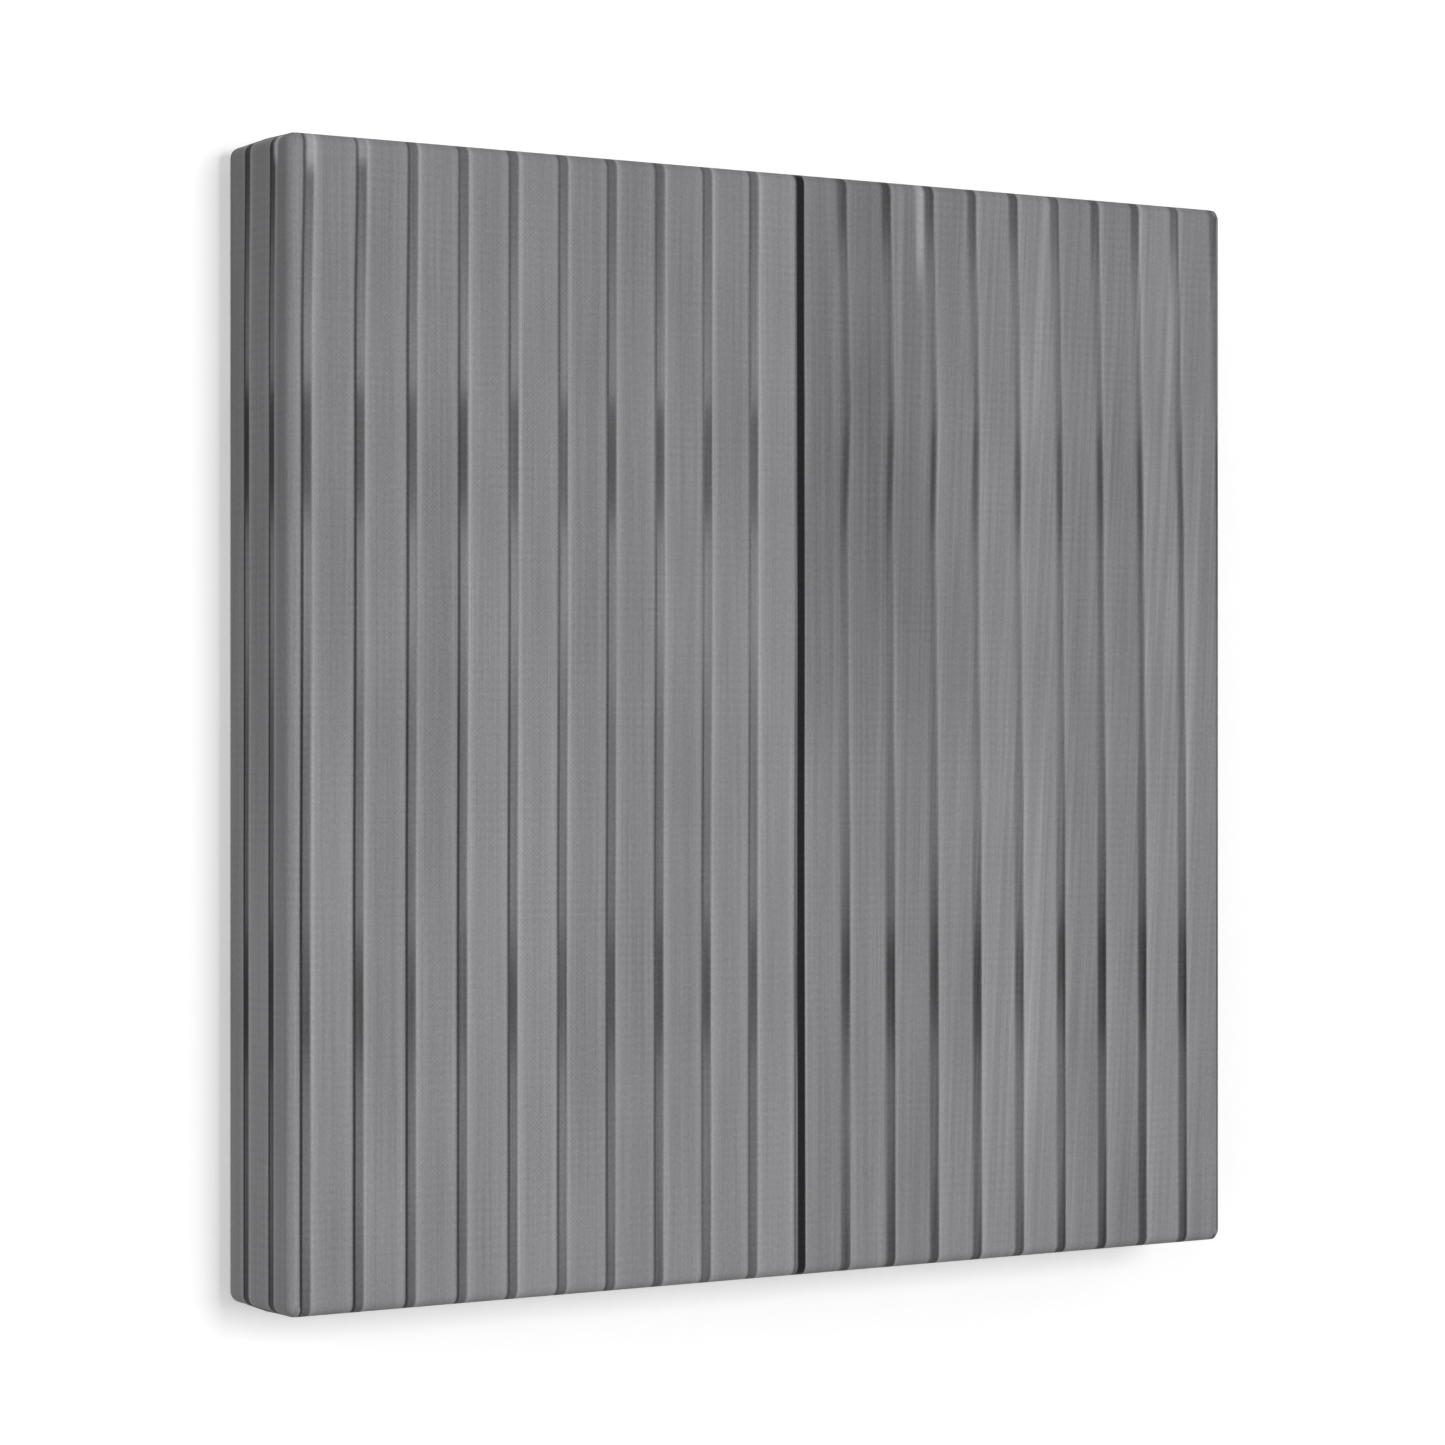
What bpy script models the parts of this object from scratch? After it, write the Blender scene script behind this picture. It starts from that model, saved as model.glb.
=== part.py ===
"""Stretched canvas: a cotton sheet wrapped over a keyed wooden stretcher frame, stapled at the back.

Metres, +Z up. The picture side faces -Y, and the origin is at the middle of the bottom edge.
"""

import math

import bmesh
import bpy
from mathutils import Matrix, Vector

MM = 0.001

# Canvas sheet
CANVAS_WIDTH = 254.0 * MM
CANVAS_HEIGHT = 254.0 * MM
CANVAS_DEPTH = 31.75 * MM
CLOTH = 0.5 * MM
EDGE_RADIUS = 2.5 * MM
EDGE_SEGMENTS = 4
HEM_WIDTH = 20.0 * MM
FOLD_LAYERS = 1.0 * MM
FOLD_SETBACK = 3.0 * MM

# Clearance between pieces that touch
FIT_GAP = 0.3 * MM

# Stretcher bars
BAR_WIDTH = 38.0 * MM
LIP_WIDTH = 5.0 * MM
FACE_FALL = 4.0 * MM
TENON_THICKNESS = 5.0 * MM
TENON_SETBACK = 10.0 * MM
TENON_SHOULDER = 0.5 * MM
TENON_ROOT = 6.0 * MM
MORTISE_WALL = 6.0 * MM
BACK_WALL = 7.0 * MM
LAYER_STEP = 9.2 * MM

# Corner keys
KEY_LENGTH = 34.0 * MM
KEY_INSERTION = 20.0 * MM
KEY_TIP_WIDTH = 5.0 * MM
KEY_HEEL_WIDTH = 10.0 * MM
SLOT_OVERSHOOT = 2.0 * MM

# Staples
STAPLES_PER_BAR = 6
STAPLE_CORNER_INSET = 27.0 * MM
STAPLE_INSET = 11.0 * MM
STAPLE_CROWN = 10.6 * MM
STAPLE_LEG = 6.0 * MM
STAPLE_WIRE_WIDTH = 1.2 * MM
STAPLE_WIRE_THICKNESS = 0.6 * MM
STAPLE_BEND = 0.9 * MM
BEND_STEPS = 3

# Sawtooth hanger and its nails
HANGER_LENGTH = 45.0 * MM
HANGER_HEIGHT = 11.0 * MM
HANGER_SHEET = 0.8 * MM
HANGER_RAISE = 1.8 * MM
HANGER_RAMP = 2.0 * MM
HANGER_TAB = 8.0 * MM
HANGER_CORNER = 2.5 * MM
TOOTH_PITCH = 3.0 * MM
TOOTH_DEPTH = 2.0 * MM
TOOTH_COUNT = 7
NAIL_SHANK = 1.4 * MM
NAIL_HEAD = 3.6 * MM
NAIL_HEAD_THICKNESS = 0.8 * MM
NAIL_LENGTH = 11.0 * MM
NAIL_POINT = 2.0 * MM

# Rubber bumpers
BUMPER_DIAMETER = 11.0 * MM
BUMPER_HEIGHT = 4.0 * MM
BUMPER_ROUND = 1.5 * MM
BUMPER_SIDE_INSET = 42.0 * MM

TURN_STEPS = 24
ARC_STEPS = 4
CUT_OVERSHOOT = 2.0 * MM

# Places that follow from the sizes above
COVER = CLOTH + FIT_GAP
FRAME_WIDTH = CANVAS_WIDTH - 2 * COVER
FRAME_HEIGHT = CANVAS_HEIGHT - 2 * COVER
FRAME_FRONT = -CANVAS_DEPTH / 2 + COVER
FRAME_BACK = CANVAS_DEPTH / 2 - COVER
FRAME_MIDDLE = CANVAS_HEIGHT / 2
SEAT_BACK = FRAME_BACK + FIT_GAP
HEM_BACK = CANVAS_DEPTH / 2
BACK_LAYER = FRAME_BACK - BACK_WALL - FIT_GAP - TENON_THICKNESS / 2
FRONT_LAYER = BACK_LAYER - LAYER_STEP
BARE_STRIP = BAR_WIDTH + COVER - HEM_WIDTH
STRIP_MIDDLE = HEM_WIDTH + BARE_STRIP / 2
MITRE_GAP = FIT_GAP / 2

QUARTER = math.pi / 2
XZ_PLANE = Matrix(((1, 0, 0), (0, 0, -1), (0, 1, 0))).to_4x4()
YZ_PLANE = Matrix(((0, 0, 1), (1, 0, 0), (0, 1, 0))).to_4x4()
XY_PLANE = Matrix.Identity(4)


def clear_scene():
    """Remove every object that the scene holds."""
    for old in list(bpy.data.objects):
        bpy.data.objects.remove(old)


def make_collection(name):
    """A new collection under the scene's own."""
    made = bpy.data.collections.new(name)
    bpy.context.scene.collection.children.link(made)
    return made


def make_material(name, colour, roughness, metallic=0.0):
    """One Principled material with a plain colour."""
    made = bpy.data.materials.new(name)
    made.use_nodes = True
    shader = made.node_tree.nodes["Principled BSDF"]
    shader.inputs["Base Color"].default_value = (*colour, 1.0)
    shader.inputs["Roughness"].default_value = roughness
    shader.inputs["Metallic"].default_value = metallic
    made.diffuse_color = (*colour, 1.0)
    return made


def add_object(name, mesh, collection, material=None, place=None):
    """A named object for a mesh, with its material and its place in the world."""
    made = bpy.data.objects.new(name, mesh)
    collection.objects.link(made)
    if material:
        made.data.materials.append(material)
    if place:
        made.matrix_world = place
    return made


def add_cutter(name, mesh, collection, place=None):
    """A helper object that only a Boolean uses."""
    made = add_object(name, mesh, collection, place=place)
    made.hide_render = True
    made.display_type = "WIRE"
    return made


def boolean(target, operation, other):
    """Cut, join or trim the target with another object."""
    modifier = target.modifiers.new(other.name, "BOOLEAN")
    modifier.operation = operation
    modifier.solver = "EXACT"
    modifier.object = other


def outline_mesh(name, points, thickness, plane):
    """A flat outline, extruded both ways from its plane, as a welded mesh."""
    curve = bpy.data.curves.new(name, "CURVE")
    curve.dimensions = "2D"
    curve.fill_mode = "BOTH"
    curve.extrude = thickness / 2
    spline = curve.splines.new("POLY")
    spline.points.add(len(points) - 1)
    for point, (across, along) in zip(spline.points, points):
        point.co = (across, along, 0.0, 1.0)
    spline.use_cyclic_u = True
    holder = bpy.data.objects.new(name, curve)
    bpy.context.scene.collection.objects.link(holder)
    graph = bpy.context.evaluated_depsgraph_get()
    mesh = bpy.data.meshes.new_from_object(holder.evaluated_get(graph))
    bpy.data.objects.remove(holder)
    work = bmesh.new()
    work.from_mesh(mesh)
    bmesh.ops.remove_doubles(work, verts=work.verts, dist=0.001 * MM)
    bmesh.ops.recalc_face_normals(work, faces=work.faces)
    work.to_mesh(mesh)
    work.free()
    mesh.transform(plane)
    mesh.name = name
    return mesh


def boxes_mesh(name, boxes):
    """One mesh with a separate box for each (lowest corner, highest corner)."""
    work = bmesh.new()
    for low, high in boxes:
        low = Vector(low)
        high = Vector(high)
        place = Matrix.Translation((low + high) / 2) @ Matrix.Diagonal((high - low).to_4d())
        place[3][3] = 1.0
        bmesh.ops.create_cube(work, size=1.0, matrix=place)
    mesh = bpy.data.meshes.new(name)
    work.to_mesh(mesh)
    work.free()
    return mesh


def arc(centre, radius, start, stop, steps):
    """Points on an arc about a centre, from one angle to another."""
    angles = [start + (stop - start) * step / steps for step in range(steps + 1)]
    return [(centre[0] + radius * math.cos(a), centre[1] + radius * math.sin(a)) for a in angles]


def turned(name, profile, collection, material, place):
    """A turned piece: a profile in (radius, height), from its top down its outer side."""
    mesh = bpy.data.meshes.new(name)
    points = [(radius, 0.0, height) for radius, height in profile]
    mesh.from_pydata(points, [(i, i + 1) for i in range(len(points) - 1)], [])
    made = add_object(name, mesh, collection, material, place)
    screw = made.modifiers.new("turn", "SCREW")
    screw.axis = "Z"
    screw.steps = TURN_STEPS
    screw.render_steps = TURN_STEPS
    screw.use_merge_vertices = True
    screw.merge_threshold = 0.01 * MM
    screw.use_smooth_shade = True
    return made


def bar_place(side):
    """Where a bar's own frame lies: X along the bar, Y to the back, Z out of the frame."""
    half_width = FRAME_WIDTH / 2
    half_height = FRAME_HEIGHT / 2
    places = {
        "top": ((0, 0, FRAME_MIDDLE + half_height), 0),
        "right": ((half_width, 0, FRAME_MIDDLE), QUARTER),
        "bottom": ((0, 0, FRAME_MIDDLE - half_height), 2 * QUARTER),
        "left": ((-half_width, 0, FRAME_MIDDLE), -QUARTER),
    }
    location, turn = places[side]
    return Matrix.Translation(location) @ Matrix.Rotation(turn, 4, "Y")


def bar_length(side):
    """Outer length of a bar."""
    return FRAME_WIDTH if side in ("top", "bottom") else FRAME_HEIGHT


def tenon_layer(side):
    """Depth of a bar's own tenons: the level bars in front, the upright bars behind."""
    return FRONT_LAYER if side in ("top", "bottom") else BACK_LAYER


def slot_layer(side):
    """Depth of a bar's slots, which take its neighbours' tenons."""
    return BACK_LAYER if side in ("top", "bottom") else FRONT_LAYER


def bar_mesh(name, length):
    """A length of moulding with a raised lip at the front, cut to 45 degrees at both ends."""
    profile = [
        (FRAME_FRONT, 0.0),
        (FRAME_FRONT, -LIP_WIDTH),
        (FRAME_FRONT + FACE_FALL, -BAR_WIDTH),
        (FRAME_BACK, -BAR_WIDTH),
        (FRAME_BACK, 0.0),
    ]
    mesh = outline_mesh(name, profile, length + 2 * CUT_OVERSHOOT, YZ_PLANE)
    work = bmesh.new()
    work.from_mesh(mesh)
    for end in (-1, 1):
        everything = work.verts[:] + work.edges[:] + work.faces[:]
        point = (end * (length / 2 - MITRE_GAP), 0, 0)
        bmesh.ops.bisect_plane(
            work, geom=everything, plane_co=point, plane_no=(end, 0, -1), clear_outer=True
        )
        rim = [edge for edge in work.edges if edge.is_boundary]
        bmesh.ops.contextual_create(work, geom=rim)
    bmesh.ops.recalc_face_normals(work, faces=work.faces)
    work.to_mesh(mesh)
    work.free()
    return mesh


def tenon_boxes(side):
    """The two tenons of a bar, rooted in the bar and blind in its neighbours."""
    half = bar_length(side) / 2
    layer = tenon_layer(side)
    root = half - BAR_WIDTH - TENON_ROOT
    tip = half - MORTISE_WALL
    boxes = []
    for near, far in ((-tip, -root), (root, tip)):
        low = (near, layer - TENON_THICKNESS / 2, -BAR_WIDTH + TENON_SHOULDER)
        high = (far, layer + TENON_THICKNESS / 2, -TENON_SETBACK)
        boxes.append((low, high))
    return boxes


def key_width(depth):
    """Width of a key at a depth into its slot, counted from the slot's mouth."""
    share = (KEY_INSERTION - depth) / KEY_LENGTH
    return KEY_TIP_WIDTH + share * (KEY_HEEL_WIDTH - KEY_TIP_WIDTH)


def slot_mesh(side, end):
    """The mortise at one end of a bar: room for the neighbour's tenon and for the key beside it."""
    tenon_edge = BAR_WIDTH - TENON_SHOULDER + FIT_GAP
    tip_depth = KEY_INSERTION + SLOT_OVERSHOOT
    outline = [
        (TENON_SETBACK - FIT_GAP, MORTISE_WALL - FIT_GAP),
        (tenon_edge, MORTISE_WALL - FIT_GAP),
        (tenon_edge, BAR_WIDTH - tip_depth),
        (BAR_WIDTH + 2 * FIT_GAP + key_width(tip_depth), BAR_WIDTH - tip_depth),
        (BAR_WIDTH + 2 * FIT_GAP + key_width(-CUT_OVERSHOOT), BAR_WIDTH + CUT_OVERSHOOT),
        (TENON_SETBACK - FIT_GAP, BAR_WIDTH + CUT_OVERSHOOT),
    ]
    half = bar_length(side) / 2
    points = [(end * (half - from_end), -inward) for from_end, inward in outline]
    mesh = outline_mesh(f"{side}_slot", points, TENON_THICKNESS + 2 * FIT_GAP, XZ_PLANE)
    mesh.transform(Matrix.Translation((0, slot_layer(side), 0)))
    return mesh


def staple_offsets(side):
    """Places of the staples along a bar, evenly spaced between the two that lie nearest its ends."""
    last = bar_length(side) / 2 + COVER - STAPLE_CORNER_INSET
    step = 2 * last / (STAPLES_PER_BAR - 1)
    return [index * step - last for index in range(STAPLES_PER_BAR)]


def staple_row():
    """Distance of the staples from a bar's outer face."""
    return STAPLE_INSET - COVER


def staple_mesh():
    """A flat wire staple: its crown lies along X and its legs point to -Y."""
    half = STAPLE_CROWN / 2
    inner = half - STAPLE_WIRE_THICKNESS
    top = STAPLE_WIRE_THICKNESS
    bend = (half - STAPLE_BEND, top - STAPLE_BEND)
    right = arc(bend, STAPLE_BEND, 0, QUARTER, BEND_STEPS)
    left = [(-across, along) for across, along in reversed(right)]
    outer = [(half, -STAPLE_LEG)] + right + left + [(-half, -STAPLE_LEG)]
    inside = [(-inner, -STAPLE_LEG), (-inner, 0.0), (inner, 0.0), (inner, -STAPLE_LEG)]
    return outline_mesh("staple", outer + inside, STAPLE_WIRE_WIDTH, XY_PLANE)


def staple_hole_boxes(side):
    """Holes for the legs of one bar's staples, in the bar's own frame."""
    half_width = STAPLE_WIRE_WIDTH / 2 + FIT_GAP
    leg_middle = (STAPLE_CROWN - STAPLE_WIRE_THICKNESS) / 2
    half_thickness = STAPLE_WIRE_THICKNESS / 2 + FIT_GAP
    floor = HEM_BACK - STAPLE_LEG
    boxes = []
    for offset in staple_offsets(side):
        for leg in (-leg_middle, leg_middle):
            low = (offset + leg - half_thickness, floor, -staple_row() - half_width)
            high = (offset + leg + half_thickness, HEM_BACK + CUT_OVERSHOOT, -staple_row() + half_width)
            boxes.append((low, high))
    return boxes


def add_bevel(target, radius):
    """Round the edges that turn a corner."""
    bevel = target.modifiers.new("round", "BEVEL")
    bevel.width = radius
    bevel.segments = EDGE_SEGMENTS
    bevel.limit_method = "ANGLE"


def make_envelope(cutters):
    """The rounded block that the frame fills, one clearance inside the cloth."""
    half = FRAME_WIDTH / 2
    low = (-half, FRAME_FRONT, FRAME_MIDDLE - FRAME_HEIGHT / 2)
    high = (half, FRAME_BACK, FRAME_MIDDLE + FRAME_HEIGHT / 2)
    envelope = add_cutter("frame_envelope", boxes_mesh("frame_envelope", [(low, high)]), cutters)
    add_bevel(envelope, EDGE_RADIUS - COVER)
    return envelope


def make_canvas(parts, cutters, material, holes):
    """The sheet: front, four sides and a stapled hem on the back, with doubled corner folds."""
    work = bmesh.new()
    size = (CANVAS_WIDTH, CANVAS_DEPTH, CANVAS_HEIGHT, 1.0)
    bmesh.ops.create_cube(work, size=1.0, matrix=Matrix.Diagonal(size))
    bmesh.ops.translate(work, verts=work.verts, vec=(0, 0, CANVAS_HEIGHT / 2))
    work.faces.ensure_lookup_table()
    back = max(work.faces, key=lambda face: face.calc_center_median().y)
    bmesh.ops.inset_individual(work, faces=[back], thickness=HEM_WIDTH, use_even_offset=True)
    bmesh.ops.delete(work, geom=[back], context="FACES")
    mesh = bpy.data.meshes.new("canvas")
    work.to_mesh(mesh)
    work.free()
    canvas = add_object("canvas", mesh, parts, material)
    add_bevel(canvas, EDGE_RADIUS)
    shell = canvas.modifiers.new("cloth", "SOLIDIFY")
    shell.thickness = CLOTH
    shell.offset = -1.0
    shell.use_even_offset = True
    for across in (-1, 1):
        for up in (-1, 1):
            fold = make_corner_fold(cutters, across, up)
            boolean(canvas, "UNION", fold)
    for hole in holes:
        boolean(canvas, "DIFFERENCE", hole)
    canvas.data.shade_smooth()
    canvas.data.set_sharp_from_angle(angle=math.radians(40))
    return canvas


def make_corner_fold(cutters, across, up):
    """The doubled triangle where the hem is folded at a corner, lying on the hem."""
    corner_x = CANVAS_WIDTH / 2
    corner_z = CANVAS_HEIGHT / 2
    outline = [
        (corner_x - FOLD_SETBACK, corner_z - FOLD_SETBACK),
        (corner_x - HEM_WIDTH + FIT_GAP, corner_z - FOLD_SETBACK),
        (corner_x - HEM_WIDTH + FIT_GAP, corner_z - HEM_WIDTH + FIT_GAP),
    ]
    points = [(across * x, up * z) for x, z in outline]
    thickness = FOLD_LAYERS + CLOTH / 2
    mesh = outline_mesh("corner_fold", points, thickness, XZ_PLANE)
    middle = HEM_BACK - CLOTH / 2 + thickness / 2
    place = Matrix.Translation((0, middle, CANVAS_HEIGHT / 2))
    return add_cutter(f"fold_{across}_{up}", mesh, cutters, place)


def make_bar(side, parts, cutters, material, envelope, holes):
    """One stretcher bar with its tenons, mortises and fastener holes."""
    name = f"{side}_bar"
    place = bar_place(side)
    bar = add_object(name, bar_mesh(name, bar_length(side)), parts, material, place)
    tenons = boxes_mesh(f"{side}_tenons", tenon_boxes(side))
    boolean(bar, "UNION", add_cutter(f"{side}_tenons", tenons, cutters, place))
    boolean(bar, "INTERSECT", envelope)
    for end in (-1, 1):
        slot = add_cutter(f"{side}_slot_{end}", slot_mesh(side, end), cutters, place)
        boolean(bar, "DIFFERENCE", slot)
    boolean(bar, "DIFFERENCE", holes)
    return bar


def key_mesh():
    """A wedge: Z runs into the slot from its mouth, X away from the neighbour's inner face."""
    heel = KEY_INSERTION - KEY_LENGTH
    outline = [(0.0, heel), (KEY_HEEL_WIDTH, heel), (KEY_TIP_WIDTH, KEY_INSERTION), (0.0, KEY_INSERTION)]
    return outline_mesh("corner_key", outline, TENON_THICKNESS, XZ_PLANE)


def make_keys(parts, material):
    """Two wedges at each corner: one drawn out across the frame, the other up or down it."""
    mesh = key_mesh()
    mesh.materials.append(material)
    inner_x = FRAME_WIDTH / 2 - BAR_WIDTH
    inner_z = FRAME_HEIGHT / 2 - BAR_WIDTH
    for up, level in ((1, "top"), (-1, "bottom")):
        for across, hand in ((-1, "left"), (1, "right")):
            upright = (across * (inner_x - FIT_GAP), BACK_LAYER, FRAME_MIDDLE + up * inner_z)
            turn = Matrix.Rotation(0 if up > 0 else 2 * QUARTER, 4, "Y")
            flip = Matrix.Rotation(2 * QUARTER if up * across > 0 else 0, 4, "Z")
            place = Matrix.Translation(upright) @ turn @ flip
            add_object(f"{level}_{hand}_key_upright", mesh, parts, place=place)
            level_point = (across * inner_x, FRONT_LAYER, FRAME_MIDDLE + up * (inner_z - FIT_GAP))
            turn = Matrix.Rotation(across * QUARTER, 4, "Y")
            flip = Matrix.Rotation(2 * QUARTER if up * across < 0 else 0, 4, "Z")
            place = Matrix.Translation(level_point) @ turn @ flip
            add_object(f"{level}_{hand}_key_across", mesh, parts, place=place)


def make_staples(parts, material):
    """A row of staples along each bar, through the hem."""
    mesh = staple_mesh()
    mesh.materials.append(material)
    for side in ("top", "right", "bottom", "left"):
        for index, offset in enumerate(staple_offsets(side)):
            spot = Matrix.Translation((offset, HEM_BACK + FIT_GAP, -staple_row()))
            add_object(f"{side}_staple_{index + 1}", mesh, parts, place=bar_place(side) @ spot)


def hanger_outline():
    """Front outline of the hanger: rounded ends and a row of teeth along the lower edge."""
    half = HANGER_LENGTH / 2
    high = HANGER_HEIGHT / 2
    inset = HANGER_CORNER
    points = []
    corners = ((half, -high, -QUARTER), (half, high, 0), (-half, high, QUARTER), (-half, -high, 2 * QUARTER))
    for across, up, start in corners:
        centre = (across - math.copysign(inset, across), up - math.copysign(inset, up))
        points += arc(centre, HANGER_CORNER, start, start + QUARTER, ARC_STEPS)
    first = -TOOTH_COUNT * TOOTH_PITCH / 2
    for tooth in range(TOOTH_COUNT):
        left = first + tooth * TOOTH_PITCH
        points.append((left, -high))
        points.append((left + TOOTH_PITCH / 2, -high + TOOTH_DEPTH))
    points.append((-first, -high))
    return points


def hanger_section():
    """Edge view of the hanger: flat tabs at the ends and a middle that stands off the wood."""
    end = HANGER_LENGTH / 2 + CUT_OVERSHOOT
    foot = HANGER_LENGTH / 2 - HANGER_TAB
    top = foot - HANGER_RAMP
    slope = math.atan2(HANGER_RAISE, HANGER_RAMP)
    ease = HANGER_SHEET * math.tan(slope / 2)
    under = [(end, 0.0), (foot, 0.0), (top, HANGER_RAISE)]
    over = [(top + ease, HANGER_RAISE + HANGER_SHEET), (foot + ease, HANGER_SHEET), (end, HANGER_SHEET)]
    left_under = [(-across, rise) for across, rise in reversed(under)]
    left_over = [(-across, rise) for across, rise in reversed(over)]
    return under + left_under + left_over + over


def nail_points():
    """Places of the two nails, on the hanger's tabs."""
    across = HANGER_LENGTH / 2 - HANGER_TAB / 2
    up = CANVAS_HEIGHT - STRIP_MIDDLE
    return [("left", (-across, SEAT_BACK, up)), ("right", (across, SEAT_BACK, up))]


def nail_profile():
    """A round head, a straight shank and a point, with the head's underside at height 0."""
    head = NAIL_HEAD / 2
    shank = NAIL_SHANK / 2
    crown = NAIL_HEAD_THICKNESS
    dome = [(head * math.cos(a), crown * math.sin(a)) for a in (QUARTER / 3 * s for s in (3, 2, 1, 0))]
    dome[0] = (0.0, crown)
    return dome + [(shank, 0.0), (shank, NAIL_POINT - NAIL_LENGTH), (0.0, -NAIL_LENGTH)]


def make_hanger(parts, cutters, steel):
    """The sawtooth hanger and its nails, on the bare wood of the top bar."""
    middle = Matrix.Translation((0, SEAT_BACK, CANVAS_HEIGHT - STRIP_MIDDLE))
    section = outline_mesh("sawtooth_hanger", hanger_section(), HANGER_HEIGHT + 2 * CUT_OVERSHOOT, XY_PLANE)
    hanger = add_object("sawtooth_hanger", section, parts, steel, middle)
    reach = 2 * (HANGER_RAISE + HANGER_SHEET + CUT_OVERSHOOT)
    outline = outline_mesh("hanger_outline", hanger_outline(), reach, XZ_PLANE)
    boolean(hanger, "INTERSECT", add_cutter("hanger_outline", outline, cutters, middle))
    lift = Matrix.Translation((0, HANGER_SHEET + FIT_GAP, 0))
    to_back = Matrix.Rotation(-QUARTER, 4, "X")
    for hand, point in nail_points():
        place = Matrix.Translation(point)
        turned(f"hanger_nail_{hand}", nail_profile(), parts, steel, place @ lift @ to_back)
        hole = nail_hole(f"nail_hole_{hand}", cutters, place)
        boolean(hanger, "DIFFERENCE", hole)
        boolean(bpy.data.objects["top_bar"], "DIFFERENCE", hole)


def nail_hole(name, cutters, place):
    """A clearance hole for a nail's shank, through the hanger and into the bar."""
    low = HANGER_SHEET - NAIL_LENGTH
    high = HANGER_SHEET + CUT_OVERSHOOT
    radius = NAIL_SHANK / 2 + FIT_GAP
    work = bmesh.new()
    bmesh.ops.create_cone(
        work, cap_ends=True, segments=TURN_STEPS, radius1=radius, radius2=radius, depth=high - low
    )
    mesh = bpy.data.meshes.new(name)
    work.to_mesh(mesh)
    work.free()
    mesh.transform(Matrix.Translation((0, (low + high) / 2, 0)) @ Matrix.Rotation(-QUARTER, 4, "X"))
    return add_cutter(name, mesh, cutters, place)


def bumper_profile():
    """A round dot with a flat face and a rounded rim."""
    radius = BUMPER_DIAMETER / 2
    rim = arc((radius - BUMPER_ROUND, BUMPER_HEIGHT - BUMPER_ROUND), BUMPER_ROUND, QUARTER, 0, ARC_STEPS)
    return [(0.0, BUMPER_HEIGHT)] + rim + [(radius, 0.0), (0.0, 0.0)]


def make_bumpers(parts, material):
    """Two dots on the bare wood of the bottom bar, which keep the frame off the wall."""
    to_back = Matrix.Rotation(-QUARTER, 4, "X")
    for across, hand in ((-1, "left"), (1, "right")):
        point = (across * (CANVAS_WIDTH / 2 - BUMPER_SIDE_INSET), SEAT_BACK, STRIP_MIDDLE)
        turned(f"bumper_{hand}", bumper_profile(), parts, material, Matrix.Translation(point) @ to_back)


def main():
    clear_scene()
    parts = make_collection("stretched_canvas")
    cutters = make_collection("cutters")
    cloth = make_material("printed_cotton", (0.21, 0.21, 0.22), 0.8)
    pine = make_material("pine", (0.66, 0.47, 0.28), 0.6)
    beech = make_material("beech", (0.72, 0.53, 0.34), 0.55)
    steel = make_material("zinc_steel", (0.55, 0.55, 0.54), 0.35, 1.0)
    rubber = make_material("clear_grey_rubber", (0.16, 0.16, 0.16), 0.7)
    envelope = make_envelope(cutters)
    holes = {}
    for side in ("top", "right", "bottom", "left"):
        boxes = boxes_mesh(f"{side}_staple_holes", staple_hole_boxes(side))
        holes[side] = add_cutter(f"{side}_staple_holes", boxes, cutters, bar_place(side))
    make_canvas(parts, cutters, cloth, holes.values())
    for side, leg_holes in holes.items():
        make_bar(side, parts, cutters, pine, envelope, leg_holes)
    make_keys(parts, beech)
    make_staples(parts, steel)
    make_hanger(parts, cutters, steel)
    make_bumpers(parts, rubber)


main()
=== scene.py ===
"""Looks of a stretched canvas: printed cotton over a keyed pine frame, with staples, hanger and bumpers."""

import math

import bmesh
import bpy
import numpy as np
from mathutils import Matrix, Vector


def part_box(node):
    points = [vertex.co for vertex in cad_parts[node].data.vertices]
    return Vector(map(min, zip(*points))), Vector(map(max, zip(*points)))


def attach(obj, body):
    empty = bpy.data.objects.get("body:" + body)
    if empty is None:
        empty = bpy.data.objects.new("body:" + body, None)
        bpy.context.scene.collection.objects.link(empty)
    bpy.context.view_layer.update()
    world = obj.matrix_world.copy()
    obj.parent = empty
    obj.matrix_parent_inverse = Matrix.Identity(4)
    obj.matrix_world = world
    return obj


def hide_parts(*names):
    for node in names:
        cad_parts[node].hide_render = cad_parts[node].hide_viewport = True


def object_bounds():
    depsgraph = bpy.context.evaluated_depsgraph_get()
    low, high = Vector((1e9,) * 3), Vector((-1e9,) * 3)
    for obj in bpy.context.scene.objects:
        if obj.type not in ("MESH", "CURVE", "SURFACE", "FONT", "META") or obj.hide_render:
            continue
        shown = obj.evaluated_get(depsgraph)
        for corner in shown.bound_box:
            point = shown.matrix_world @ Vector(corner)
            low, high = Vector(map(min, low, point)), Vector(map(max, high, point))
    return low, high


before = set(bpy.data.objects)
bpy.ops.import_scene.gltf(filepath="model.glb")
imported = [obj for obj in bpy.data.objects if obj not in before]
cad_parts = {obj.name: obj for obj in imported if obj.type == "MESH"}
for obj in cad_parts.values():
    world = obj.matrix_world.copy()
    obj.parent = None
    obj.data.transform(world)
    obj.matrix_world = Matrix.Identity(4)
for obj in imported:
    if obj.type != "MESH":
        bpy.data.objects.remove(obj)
CAD_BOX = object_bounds()

bl_info = {
    "name": "Stretched canvas",
    "version": (1, 0, 0),
    "blender": (4, 5, 0),
    "location": "View3D > Sidebar > Canvas",
    "description": "Dresses a keyed stretcher frame with printed cotton, wood, steel and rubber",
    "category": "Object",
}

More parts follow.
